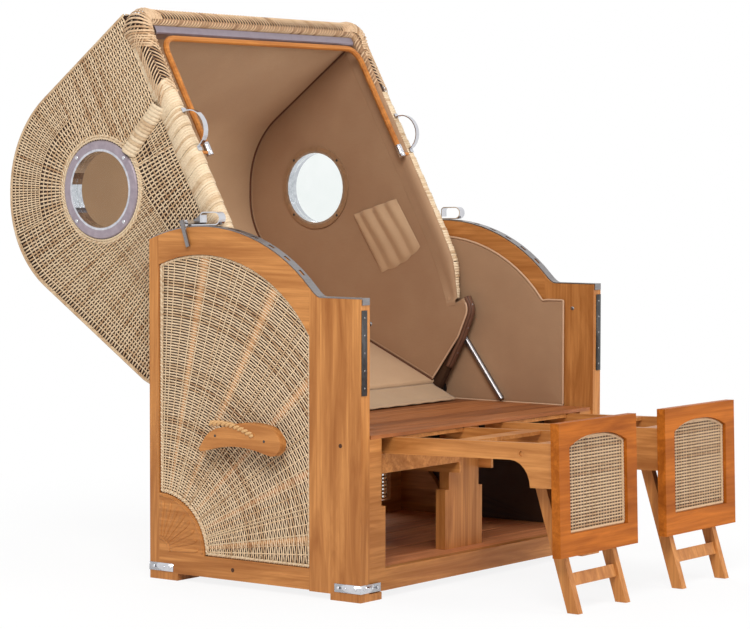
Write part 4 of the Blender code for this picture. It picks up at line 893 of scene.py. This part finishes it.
PLAIT_END = 0.890         # the plait gives way to winding here, on the upright hood
WIND_PITCH = 0.0078
WIND_GROUP = 4            # strips that lie level before the next lot steps over them
WIND_FROM, WIND_TO = radians(-76), radians(118)
lean = [(EDGE_Y + (EDGE_FOOT[0] - EDGE_Y) * t ** 2, EDGE_BEND_TOP + (EDGE_FOOT[1] - EDGE_BEND_TOP) * t)
        for t in np.linspace(0, 1, 8)]
roll_top = rounded([(-ROLL_X, EDGE_BEND_TOP, 0), (-ROLL_X, EDGE_TOP, EDGE_CORNER),
                    (ROLL_X, EDGE_TOP, EDGE_CORNER), (ROLL_X, EDGE_BEND_TOP, 0)], 12)
ROLL_PATH = ([(-ROLL_X, y, z) for y, z in lean[:0:-1]] + [(x, EDGE_Y, z) for x, z in roll_top]
             + [(ROLL_X, y, z) for y, z in lean[1:]])


def roll_frames(path):
    """Tangent, outward and forward directions along the roll, on the upright hood."""
    tangent = unit(np.gradient(path, axis=0))
    outward = unit(np.cross((0.0, -1.0, 0.0), tangent))
    return tangent, outward, np.cross(tangent, outward)


def roll_reach(turn):
    """How far the roll's skin stands from its centre: round in front, drawn out over the wall's edge."""
    turn = np.degrees((np.asarray(turn) + pi) % (2 * pi) - pi)
    turns = (-180, -120, -95, -74, -60, -45, -25, 0, 90, 135, 180)
    shares = (0.86, 0.93, 1.07, 1.84, 1.47, 1.24, 1.06, 1.02, 1.02, 0.98, 0.86)
    return EDGE_RADIUS * np.interp(turn, turns, shares)


FOOT_THIN = 0.42          # share of the roll's radius that is left at its feet
FOOT_RUN = 0.11           # height over which it thins
FOOT_SHIFT = 0.9          # share of what is lost by which its path shifts to the rear


def foot_share(z):
    """The roll thins out towards its feet."""
    return np.clip(FOOT_THIN + (1 - FOOT_THIN) * (np.asarray(z) - EDGE_FOOT[1]) / FOOT_RUN, FOOT_THIN, 1.0)


def round_wrap(bundle, path, frames, at, width, bulge, skew, trim, swell=1.0, last=WIND_TO):
    """One flat strip of cane wound over the roll and the edge behind it."""
    centre, tangent, outward, forward = (part[at] for part in (path, *frames))
    turns = np.linspace(WIND_FROM, last, 22)
    ring = outward * np.cos(turns)[:, None] + forward * np.sin(turns)[:, None]
    slide = tangent * (skew * np.sin(turns))[:, None]
    sections = []
    for across, lift in ((-0.5, -0.8), (-0.36, 0.6), (0.0, 1.0), (0.36, 0.6), (0.5, -0.8)):
        reach = (roll_reach(turns) * foot_share(centre[2]) * swell - trim + bulge * lift)[:, None]
        sections.append(centre + slide + tangent * across * width + ring * reach)
    places = np.stack(sections, axis=1)
    bundle.skin(hood_points(places)[:, ::-1])


def plait_stitch(bundle, path, frames, at, turn_from, turn_to, advance, count, spread, width):
    """A group of thin strands laid aslant over the roll."""
    _, outward, forward = frames
    run = np.arange(len(path), dtype=float)
    shares = np.linspace(0, 1, 9)
    for k in range(count):
        here = np.clip(at + (k - (count - 1) / 2) * spread + advance * shares, 0, len(path) - 1)
        turn = turn_from + (turn_to - turn_from) * shares
        centre, out, ahead = (np.stack([np.interp(here, run, part[:, a]) for a in range(3)], 1)
                              for part in (path, outward, forward))
        ring = out * np.cos(turn)[:, None] + ahead * np.sin(turn)[:, None]
        lift = roll_reach(turn) - 0.001 + 0.0036 * np.sin(pi * shares)
        lift -= 0.0080 * np.abs(2 * shares - 1) ** 5
        places = centre + ring * lift[:, None]
        ends = [hood_place(*part.T) for part in (places, places + ring * 0.01)]
        slim = width * (0.55 + 0.45 * np.sin(pi * np.clip(shares, 0.1, 0.9)))
        bundle.strand(ends[0], ends[1] - ends[0], slim, 0.0034, 6)


PLAIT_STEP = 0.002
PLAIT_PITCH = 0.0380
PLAIT_RIDGE = radians(36)
PLAIT_ADVANCE = 0.052
PLAIT_STRANDS = 3


def edge_roll():
    path = resample(ROLL_PATH, PLAIT_STEP)
    path[:, 1] += (1 - foot_share(path[:, 2])) * EDGE_RADIUS * FOOT_SHIFT
    frames = roll_frames(path)
    wound, plaited, core = Bundle(), Bundle(), Bundle()
    high = np.flatnonzero(path[:, 2] > PLAIT_END)
    pitch = WIND_PITCH / PLAIT_STEP
    for k in range(int(len(path) / pitch)):
        i = int(k * pitch)
        if high[0] + 14 < i < high[-1] - 14:
            round_wrap(wound, path, frames, i, WIND_PITCH, 0.0006, 0.009, 0.0030, 1.0, radians(-20))
            continue
        wobble = noise.noise((k * 0.37, 0.0, 0.0))
        step = 0.0011 * (k // WIND_GROUP % 2) + 0.0007 * (k % WIND_GROUP) / WIND_GROUP
        round_wrap(wound, path, frames, i, WIND_PITCH * (1.06 + 0.08 * wobble), 0.0012, 0.009,
                   step)
    stitch = PLAIT_PITCH / PLAIT_STEP
    slant = PLAIT_ADVANCE / PLAIT_STEP
    on_top = np.abs(path[:, 0]) < ROLL_X - EDGE_CORNER * 0.3
    for at in np.arange(high[0] + slant * 0.6, high[-1] - slant * 0.2, stitch):
        way = slant if on_top[int(at)] else -slant
        for start, turn_from, turn_to, advance, width in ((at, 0.15, -1.75, way, 0.0048),
                                                          (at + stitch / 2, -0.15, 1.55, way, 0.0048),
                                                          (at, 2.4, 1.30, way * 0.5, 0.0052)):
            plait_stitch(plaited, path, frames, start, PLAIT_RIDGE + turn_from, PLAIT_RIDGE + turn_to,
                         advance, PLAIT_STRANDS, stitch / PLAIT_STRANDS, width)
    for corner in (-1, 1):
        near = np.argmin(np.abs(path[:, 0] - corner * (ROLL_X - EDGE_CORNER * 0.3))
                         + np.abs(path[:, 2] - EDGE_TOP + EDGE_CORNER * 0.3))
        for k in range(-10, 11):
            i = near + 4 * k
            round_wrap(plaited, path, frames, i, 0.0066, 0.0016, 0.016 * corner, 0.0004,
                       1 + 0.30 * np.exp(-(k / 5) ** 2))
    thin = path[::8]
    # the roll's core in the near-black core cane: painted shade between the wraps
    core.tube(hood_place(*thin.T), (EDGE_RADIUS - 0.005) * foot_share(thin[:, 2]), 14)
    piece = wound.build("edge_roll_winding", "hood", FLAT_CANE)
    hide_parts("edge_roll")
    plaited.build("edge_roll_plait", "hood", PLAIT_CANE)
    core.build("edge_roll_painted_shade_core", "hood", PAINTED_SHADE_CORE)
    facing(path[::10], [part[::10] for part in frames])


LAP = 0.012               # how far the facing laps over the linings of the walls
LAP_IN = ROLL_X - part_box("right_hood_lining")[0].x + 0.0015


def facing(path, frames):
    """The lining turned over the inner half of the roll, and lapped over the walls' linings."""
    _, outward, forward = frames
    share = foot_share(path[:, 2])[:, None]
    shift = (1 - share) * EDGE_RADIUS * FOOT_SHIFT

    def round_part(last, count):
        turns = np.linspace(WIND_TO - 0.10, last, count)
        reach = (roll_reach(turns) - 0.0006)[None, :] * share
        return reach * np.cos(turns), reach * np.sin(turns)

    tucked = round_part(radians(262), 14)
    bent = round_part(radians(205), 12)
    lap_out, lap_back = np.full_like(share, -LAP_IN), shift - EDGE_RADIUS - LAP
    lapped = [np.concatenate([part, (part[:, -1:] + end) / 2, end], axis=1)
              for part, end in zip(bent, (lap_out, lap_back))]
    on_side = np.abs(outward[:, :1]) ** 4
    out, ahead = (on_side * a + (1 - on_side) * b for a, b in zip(lapped, tucked))
    places = path[:, None] + outward[:, None] * out[..., None] + forward[:, None] * ahead[..., None]
    girth = np.linalg.norm(np.diff(places[len(path) // 4], axis=0), axis=1).sum()
    tails = []
    for end, inner in ((0, 1), (-1, -2)):
        down = unit(path[end] - path[inner])
        flat = np.linspace(0.010, lap_back[end, 0], 14)[:, None]
        flat = path[end] - outward[end] * LAP_IN + forward[end] * flat
        tails.append(np.stack([flat + down * drop for drop in (0.008, 0.015, 0.022)]))
    places = np.concatenate([tails[0][::-1], places, tails[1]])
    cover = Bundle()
    cover.skin(hood_points(places))
    piece = cover.build("mouth_facing", "hood", CANVAS, "fabric")


edge_roll()


BRACE_START, BRACE_END = (-0.214, BRACE_Z), (-0.050, 0.811)


def brace(label, side):
    """A wound rod that braces each porthole against the roll."""
    count = 15
    start, end = np.array(BRACE_START), np.array(BRACE_END)
    wraps = Bundle()
    run = end - start
    along = np.array((0.0, *unit(run)))
    up = np.array((float(side), 0.0, 0.0))
    across = np.cross(along, up)
    pitch = np.linalg.norm(run) / (count - 1)
    for k in range(count):
        share = k / (count - 1)
        y, z = start + run * share
        radius = 0.019 - 0.006 * share
        centre = np.array((side * (HOOD_HALF + 0.002), y, z))
        turns = np.linspace(0, pi, 13)
        ring = across * np.cos(turns)[:, None] * (1.25 + 0.5 * share) + up * np.sin(turns)[:, None]
        slide = along * (0.006 * np.cos(turns))[:, None]
        sections = [centre + slide + along * a * pitch * 1.04 + ring * (radius + 0.002 * lift)
                    for a, lift in ((-0.5, -0.4), (-0.38, 0.6), (0.0, 1.0), (0.38, 0.6), (0.5, -0.4))]
        places = np.stack(sections, axis=1)
        wraps.skin(hood_points(places))
    wraps.build(label + "_brace_winding", "hood", FLAT_CANE)


for label, side in SIDES:
    brace(label, side)


# Linings, cut from the CAD's own outlines

def remeshed(node, name, voxel):
    """A dense copy of a CAD node with softened corners."""
    piece = bpy.data.objects.new(name, NODES[node].data.copy())
    bpy.context.scene.collection.objects.link(piece)
    remesh = piece.modifiers.new("remesh", "REMESH")
    remesh.mode = "VOXEL"
    remesh.voxel_size = voxel
    smooth = piece.modifiers.new("smooth", "SMOOTH")
    smooth.iterations = 3
    bpy.context.view_layer.update()
    mesh = bpy.data.meshes.new_from_object(piece.evaluated_get(bpy.context.evaluated_depsgraph_get()))
    piece.modifiers.clear()
    piece.data = mesh
    mesh.polygons.foreach_set("use_smooth", [True] * len(mesh.polygons))
    return piece


SHARP = radians(50)


def welded(node):
    """A CAD node's mesh with its doubled points joined."""
    shape = bmesh.new()
    shape.from_mesh(NODES[node].data)
    bmesh.ops.remove_doubles(shape, verts=shape.verts, dist=1e-5)
    return shape


def is_sharp(edge):
    return len(edge.link_faces) == 2 and edge.calc_face_angle() > SHARP


def rim_points(node, step=0.004):
    """Points along a CAD node's sharp edges."""
    shape = welded(node)
    points = []
    for edge in shape.edges:
        if is_sharp(edge):
            a, b = (vert.co for vert in edge.verts)
            count = max(1, int((b - a).length / step))
            points += [a.lerp(b, k / count) for k in range(count + 1)]
    shape.free()
    return points


def dressed(piece, node, body, look):
    piece.data.materials.clear()
    piece.data.materials.append(look)
    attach(piece, body)
    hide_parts(node)


def swollen(distance, reach=0.035):
    """How far padding has risen at a distance from the seam that holds it down."""
    return 1 - np.exp(-(np.maximum(distance, 0.0) / reach) ** 1.6)


LINING_VOXEL = 0.0045


def crowned_lining(node, name, side, body, depth, look):
    """A flat lining that swells off its board, held down along its edges."""
    piece = remeshed(node, name, LINING_VOXEL)
    points = rim_points(node)
    tree = kdtree.KDTree(len(points))
    for k, point in enumerate(points):
        tree.insert(point, k)
    tree.balance()
    low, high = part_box(node)
    back = max(abs(low.x), abs(high.x))
    thick = high.x - low.x
    for vert in piece.data.vertices:
        near = tree.find(vert.co)[2]
        front = min(1.0, max(0.0, (back - abs(vert.co.x)) / thick))
        ripple = 0.0010 * noise.noise(vert.co * 7.0) + 0.0004 * noise.noise(vert.co * 31.0)
        vert.co.x -= side * front * (depth * swollen(near) + ripple * min(1.0, near / 0.03))
    dressed(piece, node, body, look)


for label, side in SIDES:
    # the hood walls' linings take the darker copy of the cloth, painted shade
    crowned_lining(label + "_hood_lining", label + "_hood_canvas", side, "hood", 0.0030, SIDE_CANVAS_PAINTED_SHADE)
    crowned_lining(label + "_side_lining", label + "_side_canvas", side, "base", 0.0040, CANVAS)


# The padded back, its piping, the pocket and the seat flap

PAD_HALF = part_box("back_lining")[1].x - 0.0004


def ripple(x, run):
    """Slow unevenness of stretched cloth."""
    return 0.0012 * np.sin(9.0 * x + 2.0 * np.sin(5.0 * run)) * np.sin(6.5 * run + 1.3 * x)


def back_canvas():
    """The padded back and roof, drawn tight over a bent board and held at both sides."""
    front = resample(PAD_PATH, count=150)
    inward = in_plane_normals(front)
    run = np.linspace(0.0, 1.6, len(front))
    ends = np.minimum(run, 1.6 - run)
    rear = front - inward * (PAD_THICK - 0.001)
    edge = PAD_HALF * np.sin(np.linspace(-pi / 2, pi / 2, 84))
    rows = []
    for x in edge:
        inset = PAD_HALF - abs(x)
        rise = 0.0036 * swollen(inset) * swollen(ends) + ripple(x, run) * swollen(inset, 0.08)
        face = front + inward * rise[:, None]
        loop = np.concatenate((face, rear[::-1]))
        rows.append(hood_place(x, *loop.T))
    canvas = Bundle()
    canvas.skin(np.array(rows), solid=True)
    # the lighter copy of the lining cloth: painted light
    piece = canvas.build("back_canvas", "hood", BACK_CANVAS_PAINTED_LIGHT, "fabric")
    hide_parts("back_lining")


def piping():
    """Dark welts along the seams of the back with the sides, each with a lighter ridge beside it."""
    front = resample(PAD_PATH, 0.010)
    inward = in_plane_normals(front)
    dark, light = Bundle(), Bundle()
    for side in (-1, 1):
        seam = front + inward * 0.0020
        dark.tube(hood_place(side * (LINING_FACE - 0.0030), *seam.T), 0.0030, 8)
        ridge = front + inward * 0.0075
        light.tube(hood_place(side * (LINING_FACE - 0.0004), *ridge.T), 0.0022, 6)
    dark.build("back_piping", "hood", WELT, "fabric")
    light.build("back_seam_ridge", "hood", CANVAS, "fabric")


LINING_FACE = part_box("right_hood_lining")[0].x
POCKET_LOW, POCKET_HIGH = 0.410, 0.585
POCKET_FRONT, POCKET_REAR = -0.168, 0.005


def pocket():
    """A pocket of the lining's cloth, gathered along its hem so that it hangs in folds."""
    u, v = np.meshgrid(np.linspace(0, 1, 97), np.linspace(0, 1, 41))
    held = (4 * u * (1 - u)) ** 0.45
    belly = 0.013 * held * np.sin(pi * np.clip(1 - v, 0, 1) ** 0.75) ** 0.8
    wave = 2 * pi * 3.5 * (u ** 0.92 + 0.035 * np.sin(4.0 * v))
    gather = held * (0.45 + 0.55 * v) * np.minimum(1.0, v / 0.10) ** 0.7
    fold = 0.0100 * (0.5 - 0.5 * np.cos(wave)) ** 0.8 * gather
    hem = 0.0014 * np.exp(-((v - 0.93) / 0.03) ** 2)
    y = POCKET_FRONT + (POCKET_REAR - POCKET_FRONT) * u - 0.012 * (1 - v)
    z = POCKET_LOW + (POCKET_HIGH - POCKET_LOW) * v + 0.035 * u * v
    z -= 0.012 * np.sin(pi * u) * (1 - v) + 0.004 * np.abs(np.sin(wave / 2)) * (1 - v) ** 3
    x = LINING_FACE - 0.0034 - belly - fold - hem
    places = hood_place(x, y, z)
    cover = Bundle()
    cover.skin(places)
    # the pocket takes the lighter copy of the cloth, painted light on its folds
    piece = cover.build("pocket_cloth", "hood", BACK_CANVAS_PAINTED_LIGHT, "fabric")
    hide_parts("storage_pocket")


def flap():
    """The pale flap that bridges the padded lip and the seat."""
    _, hinge_y, hinge_z = JOINTS["seat_flap_swing"]["pos_m"]
    low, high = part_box("seat_flap")
    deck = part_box("seat_deck")[1].z
    length = hypot(high.y - low.y, high.z - low.z) - 0.013
    drop = asin((hinge_z - deck - 0.0056) / length)
    along, up = np.array((-cos(drop), -sin(drop))), np.array((-sin(drop), cos(drop)))
    shares = np.linspace(0, 1, 26)
    half = np.interp(shares, (0, 0.06, 0.12, 0.84, 0.90, 0.96, 1.0),
                     (0.0030, 0.0034, 0.0016, 0.0016, 0.0030, 0.0034, 0.0012))
    rows = []
    for x in np.linspace(low.x + 0.001, high.x - 0.001, 120):
        lift = 0.0014 * np.sin(31 * x + 3 * np.sin(7 * x)) * np.sin(pi * shares)
        lift += 0.0008 * np.sin(83 * x) * shares
        middle = np.array((hinge_y, hinge_z)) + along * (shares * length)[:, None] + up * lift[:, None]
        loop = np.concatenate((middle + up * half[:, None], (middle - up * half[:, None])[::-1]))
        rows.append(joined(x, *loop.T))
    cover = Bundle()
    cover.skin(np.array(rows), solid=True)
    piece = cover.build("flap_cloth", "seat_flap", PALE_CANVAS, "pale_fabric")
    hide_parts("seat_flap")


back_canvas()
piping()
pocket()
flap()


# Welts, screws and fittings

def rim_loop(node, x):
    """The outer outline of a flat CAD node at one of its faces, as points in order."""
    shape = welded(node)
    links = {}
    for edge in shape.edges:
        ends = [vert for vert in edge.verts if abs(vert.co.x - x) < 1e-4]
        if len(ends) == 2 and is_sharp(edge):
            for a, b in (ends, ends[::-1]):
                links.setdefault(a.index, []).append(b.index)
    places = {vert.index: tuple(vert.co) for vert in shape.verts}
    shape.free()
    loops = []
    while links:
        here = min(links)
        loop = [here]
        while True:
            ways = [k for k in links.pop(here) if k in links]
            if not ways:
                break
            here = ways[0]
            loop.append(here)
        loops.append(np.array([places[k] for k in loop + loop[:1]]))
    return max(loops, key=len)


def side_welts(label, side):
    """Light piping round the lining of a side panel and a hood side."""
    welts = Bundle()
    face = side * min(abs(corner.x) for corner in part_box(label + "_side_lining"))
    welts.tube(resample(rim_loop(label + "_side_lining", face), 0.008), 0.0032, 8)
    welts.build(label + "_panel_welt", "base", LIGHT_WELT, "fabric")
    edge = Bundle()
    face = side * min(abs(corner.x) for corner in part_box(label + "_hood_lining"))
    loop = rim_loop(label + "_hood_lining", face)
    upright = (loop[:, 2] - AXIS_Z) * cos(RECLINE) + (loop[:, 1] - AXIS_Y) * sin(RECLINE)
    ahead = (loop[:, 1] - AXIS_Y) * cos(RECLINE) - (loop[:, 2] - AXIS_Z) * sin(RECLINE)
    kept = (upright < CHIN[0][1] - 0.002) & (ahead < 0.0)
    start = int(np.argmin(kept))
    for a, b in runs(np.roll(kept[:-1], -start)):
        edge.tube(resample(np.roll(loop[:-1], -start, axis=0)[a:b], 0.008), 0.0030, 8)
    edge.build(label + "_mouth_welt", "hood", LIGHT_WELT, "fabric")


DOME_SIDES = 12


def dome(bundle, centre, axis, radius, height):
    """A low domed screw head."""
    axis = unit(np.asarray(axis, float))
    across = unit(np.cross(axis, ODD_WAY))
    turns = np.arange(DOME_SIDES) * 2 * pi / DOME_SIDES
    ring = across * np.cos(turns)[:, None] + np.cross(axis, across) * np.sin(turns)[:, None]
    rows = [np.asarray(centre) + axis * height * sin(a) + ring * radius * cos(a)
            for a in np.linspace(0, 1.45, 5)]
    bundle.skin(np.array(rows), solid=True)


def slab(bundle, low, high):
    """A thin plate between two corners."""
    low, high = np.minimum(low, high), np.maximum(low, high)
    thin = int(np.argmin(high - low))
    a, b = (k for k in range(3) if k != thin)
    rows = []
    for depth in (low[thin], high[thin]):
        corners = []
        for end_a, end_b in ((0, 0), (1, 0), (1, 1), (0, 1)):
            point = np.zeros(3)
            point[thin] = depth
            point[a] = (low[a], high[a])[end_a]
            point[b] = (low[b], high[b])[end_b]
            corners.append(point)
        rows.append(corners)
    bundle.skin(np.array(rows), solid=True)


PORT_SCREWS = 0.131
PORT_INNER_SCREWS = PORT_SCREWS - 0.007


def port_screws(label, side):
    bright, dark = Bundle(), Bundle()
    low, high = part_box(label + "_porthole_ring")
    outer, inner = sorted((abs(low.x), abs(high.x)), reverse=True)
    for k in range(4):
        turn = radians(45 + 90 * k) + RECLINE
        for heads, face, way, reach, size in ((bright, outer, side, PORT_SCREWS, (0.0062, 0.0034)),
                                              (dark, inner, -side, PORT_INNER_SCREWS, (0.0042, 0.0020))):
            y, z = PORT[0] + reach * cos(turn), PORT[1] + reach * sin(turn)
            dome(heads, hood_place(side * face, y, z), (way, 0, 0), *size)
    bright.build(label + "_port_screws", "hood", CHROME, "chrome")
    dark.build(label + "_port_inner_screws", "hood", BLACK, "black_metal")


BRACKET_LOW, BRACKET_HIGH, BRACKET_RUN = 0.024, 0.047, 0.088
BRACKET_THICK = 0.002
BRACKET_SCREW = (0.0048, 0.0022)    # radius and height of a head


def foot_brackets(label, side):
    """Bright corner plates with screws at the foot of each post and stile."""
    plates = Bundle()
    for node, front in (("front_post", True), ("rear_stile", False)):
        low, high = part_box(label + "_" + node)
        y = low.y if front else high.y
        away = -1 if front else 1
        face = side * max(abs(low.x), abs(high.x))
        skin, end = face + side * BRACKET_THICK, y + away * BRACKET_THICK
        slab(plates, (face, y, BRACKET_LOW), (skin, y - away * BRACKET_RUN, BRACKET_HIGH))
        slab(plates, (skin, y, BRACKET_LOW), (face - side * BRACKET_RUN, end, BRACKET_HIGH))
        for run in (0.016, 0.052, 0.076):
            height = (BRACKET_LOW + BRACKET_HIGH) / 2
            dome(plates, (skin, y - away * run, height), (side, 0, 0), *BRACKET_SCREW)
            dome(plates, (face - side * run, end, height), (0, away, 0), *BRACKET_SCREW)
    plates.build(label + "_foot_brackets", "base", CHROME, "chrome")


HINGE_LOW, HINGE_HIGH = 0.560, 0.790
HINGE_SPAN = (0.003, 0.025)    # how far its edges lie in from the post's outer face
HINGE_THICK = 0.003
HINGE_SCREW = (0.0030, 0.0014)


def hinge_plate(label, side):
    """A dark plate with screws down the front of each front post."""
    plate, screws = Bundle(), Bundle()
    low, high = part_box(label + "_front_post")
    outer = side * max(abs(low.x), abs(high.x))
    front = low.y - HINGE_THICK
    near, far = (outer - side * inset for inset in HINGE_SPAN)
    slab(plate, (near, low.y, HINGE_LOW), (far, front, HINGE_HIGH))
    for z in np.linspace(HINGE_LOW + 0.02, HINGE_HIGH - 0.02, 5):
        dome(screws, ((near + far) / 2, front, z), (0, -1, 0), *HINGE_SCREW)
    plate.build(label + "_hinge_plate", "base", BLACK, "black_metal")
    screws.build(label + "_hinge_screws", "base", STEEL, "steel")


def handle_rope(label, side):
    """A rope aslant over the handle, and the handle's dark screw heads."""
    low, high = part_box(label + "_carry_handle")
    face = side * max(abs(low.x), abs(high.x))
    run, rise = high.y - low.y, high.z - low.z
    shares = ((0.87, 0.90), (0.73, 0.93), (0.58, 0.88), (0.45, 0.76), (0.33, 0.60))
    path = [(face - side * 0.002, low.y + a * run, low.z + b * rise) for a, b in shares]
    wrap, heads = Bundle(), Bundle()
    rope(wrap, resample(path, count=40), (side, 0.0, 0.0), 0.0085, 0.030, 2, 8)
    wrap.build(label + "_handle_rope", "base", ROPE)
    for a, b in ((0.20, 0.46), (0.80, 0.52)):
        dome(heads, (face, low.y + a * run, low.z + b * rise), (side, 0, 0), 0.0040, 0.0012)
    heads.build(label + "_handle_screws", "base", BLACK, "black_metal")


BOW_REACH_X, BOW_Y, BOW_END = ROLL_X - EDGE_RADIUS - 0.018, -0.270, 0.690


def bow_caps():
    caps = Bundle()
    for side in (-1, 1):
        z = BOW_END + np.array((-0.0105, -0.0095, 0.006, 0.022, 0.030, 0.031))
        x = np.full(len(z), side * BOW_REACH_X)
        caps.tube(hood_place(x, BOW_Y, z), np.array((0.0080, 0.0106, 0.0106, 0.0106, 0.0106, 0.0094)), 16)
    caps.build("bow_caps", "awning_bow", CHROME, "chrome")


SUN_PETALS = 8


def sun_carving(label, side):
    """Petals carved in low relief on the quarter block under each fan."""
    petals = Bundle()
    face = side * PANEL_FACE
    shares = np.linspace(0, 1, 14)
    for k in range(SUN_PETALS):
        turn = radians(90) * (k + 0.5) / SUN_PETALS
        reach = SUN_RADIUS * (0.26 + 0.62 * shares)
        points = joined(face, FAN_CENTRE[0] - reach * sin(turn), FAN_CENTRE[1] + reach * cos(turn))
        width = 0.0030 + 0.0170 * shares ** 1.2 * (1 - shares ** 9) ** 0.5
        petals.strand(points, (side, 0.0, 0.0), width, 0.0052, 8)
    for radius in (0.22, 0.95):
        rim = np.array(arc(FAN_CENTRE, SUN_RADIUS * radius, pi / 2 + 0.03, pi - 0.03, 24))
        petals.strand(joined(face, *rim.T), (side, 0.0, 0.0), 0.0058, 0.0036, 6)
    petals.build(label + "_sun_carving", "base", WOODS["y"], "wood")


PLUG = (0.069, 0.422)     # how far behind the post's front edge a dark plug sits, and how high
PLUG_HEAD = (0.0062, 0.0014)


def post_plugs(label, side):
    plugs = Bundle()
    low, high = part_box(label + "_front_post")
    for y, z in ((low.y + PLUG[0], PLUG[1]), ((POST_REAR + STILE_FRONT) / 2, BOTTOM_RAIL_TOP * 0.62)):
        dome(plugs, (side * PANEL_FACE, y, z), (side, 0, 0), *PLUG_HEAD)
    plugs.build(label + "_post_plugs", "base", PLUG_WOOD, "wood")
    screw = Bundle()
    inner = min(abs(low.x), abs(high.x)) * side
    dome(screw, (inner, low.y + 0.040, 0.749), (-side, 0, 0), 0.0062, 0.0020)
    screw.build(label + "_post_screw", "base", STEEL, "steel")


def chin_band(label, side):
    """A brown strip riveted along the front edge of each hood wall, under the roll."""
    band, rivets = Bundle(), Bundle()
    low, high = (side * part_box("right_hood_wall")[k].x for k in (0, 1))
    line = resample(rounded(CHIN, 8), 0.006)
    ahead = in_plane_normals(line)
    ends = [hood_place((low + high) / 2, *(line + ahead * far).T) for far in (0.0006, 1.0)]
    band.strand(ends[0], ends[1] - ends[0], abs(high - low) - 0.001, 0.0024, 6)
    for share in (0.12, 0.45, 0.80):
        at = int(share * (len(line) - 1))
        dome(rivets, ends[0][at], ends[1][at] - ends[0][at], 0.0036, 0.0026)
    inside = line - ahead * 0.0065
    band.strand(hood_place(low - side * 0.0006, *inside.T), (-side, 0.0, 0.0), 0.013, 0.0024, 6)
    band.build(label + "_chin_band", "hood", TRIM, "wood")
    rivets.build(label + "_chin_rivets", "hood", STEEL, "steel")


for label, side in SIDES:
    chin_band(label, side)
    sun_carving(label, side)
    post_plugs(label, side)
    side_welts(label, side)
    port_screws(label, side)
    foot_brackets(label, side)
    hinge_plate(label, side)
    handle_rope(label, side)
bow_caps()


# Finishes of the CAD nodes that stay

LOOKS = {"front_post": WOODS["z"], "rear_stile": WOODS["z"], "arched_rail": WOODS["y"],
         "bottom_rail": WOODS["y"], "carry_handle": WOODS["y"], "footrest_frame": WOODS["y"],
         "footrest_front": REST_WOOD, "leg_frame": WOODS["z"]}
METALS = {"latch_rail": STEEL, "latch_bracket": STEEL, "latch_lever": CHROME, "grab_loop": CHROME,
          "pivot_pin": STEEL, "porthole_ring": PORT_METAL, "porthole_pane": GLASS, "spring_barrel": STEEL,
          "spring_rod": STEEL}
for label, _ in SIDES:
    for part, look in LOOKS.items():
        paint(label + "_" + part, look)
        ease(label + "_" + part)
    for part, look in METALS.items():
        paint(label + "_" + part, look)
for node, look in (("front_frame", WOODS["x"]), ("centre_post", WOODS["z"]), ("rear_frame", WOODS["x"]),
                   ("footrest_runner", WOODS["y"]), ("seat_deck", DECK_WOOD), ("floor_boards", FLOOR_WOOD_PAINTED_LIGHT)):
    paint(node, look)
    ease(node, 0.0015)
paint("awning_bow", BOW_WOOD)
paint("awning_cassette", ALLOY)
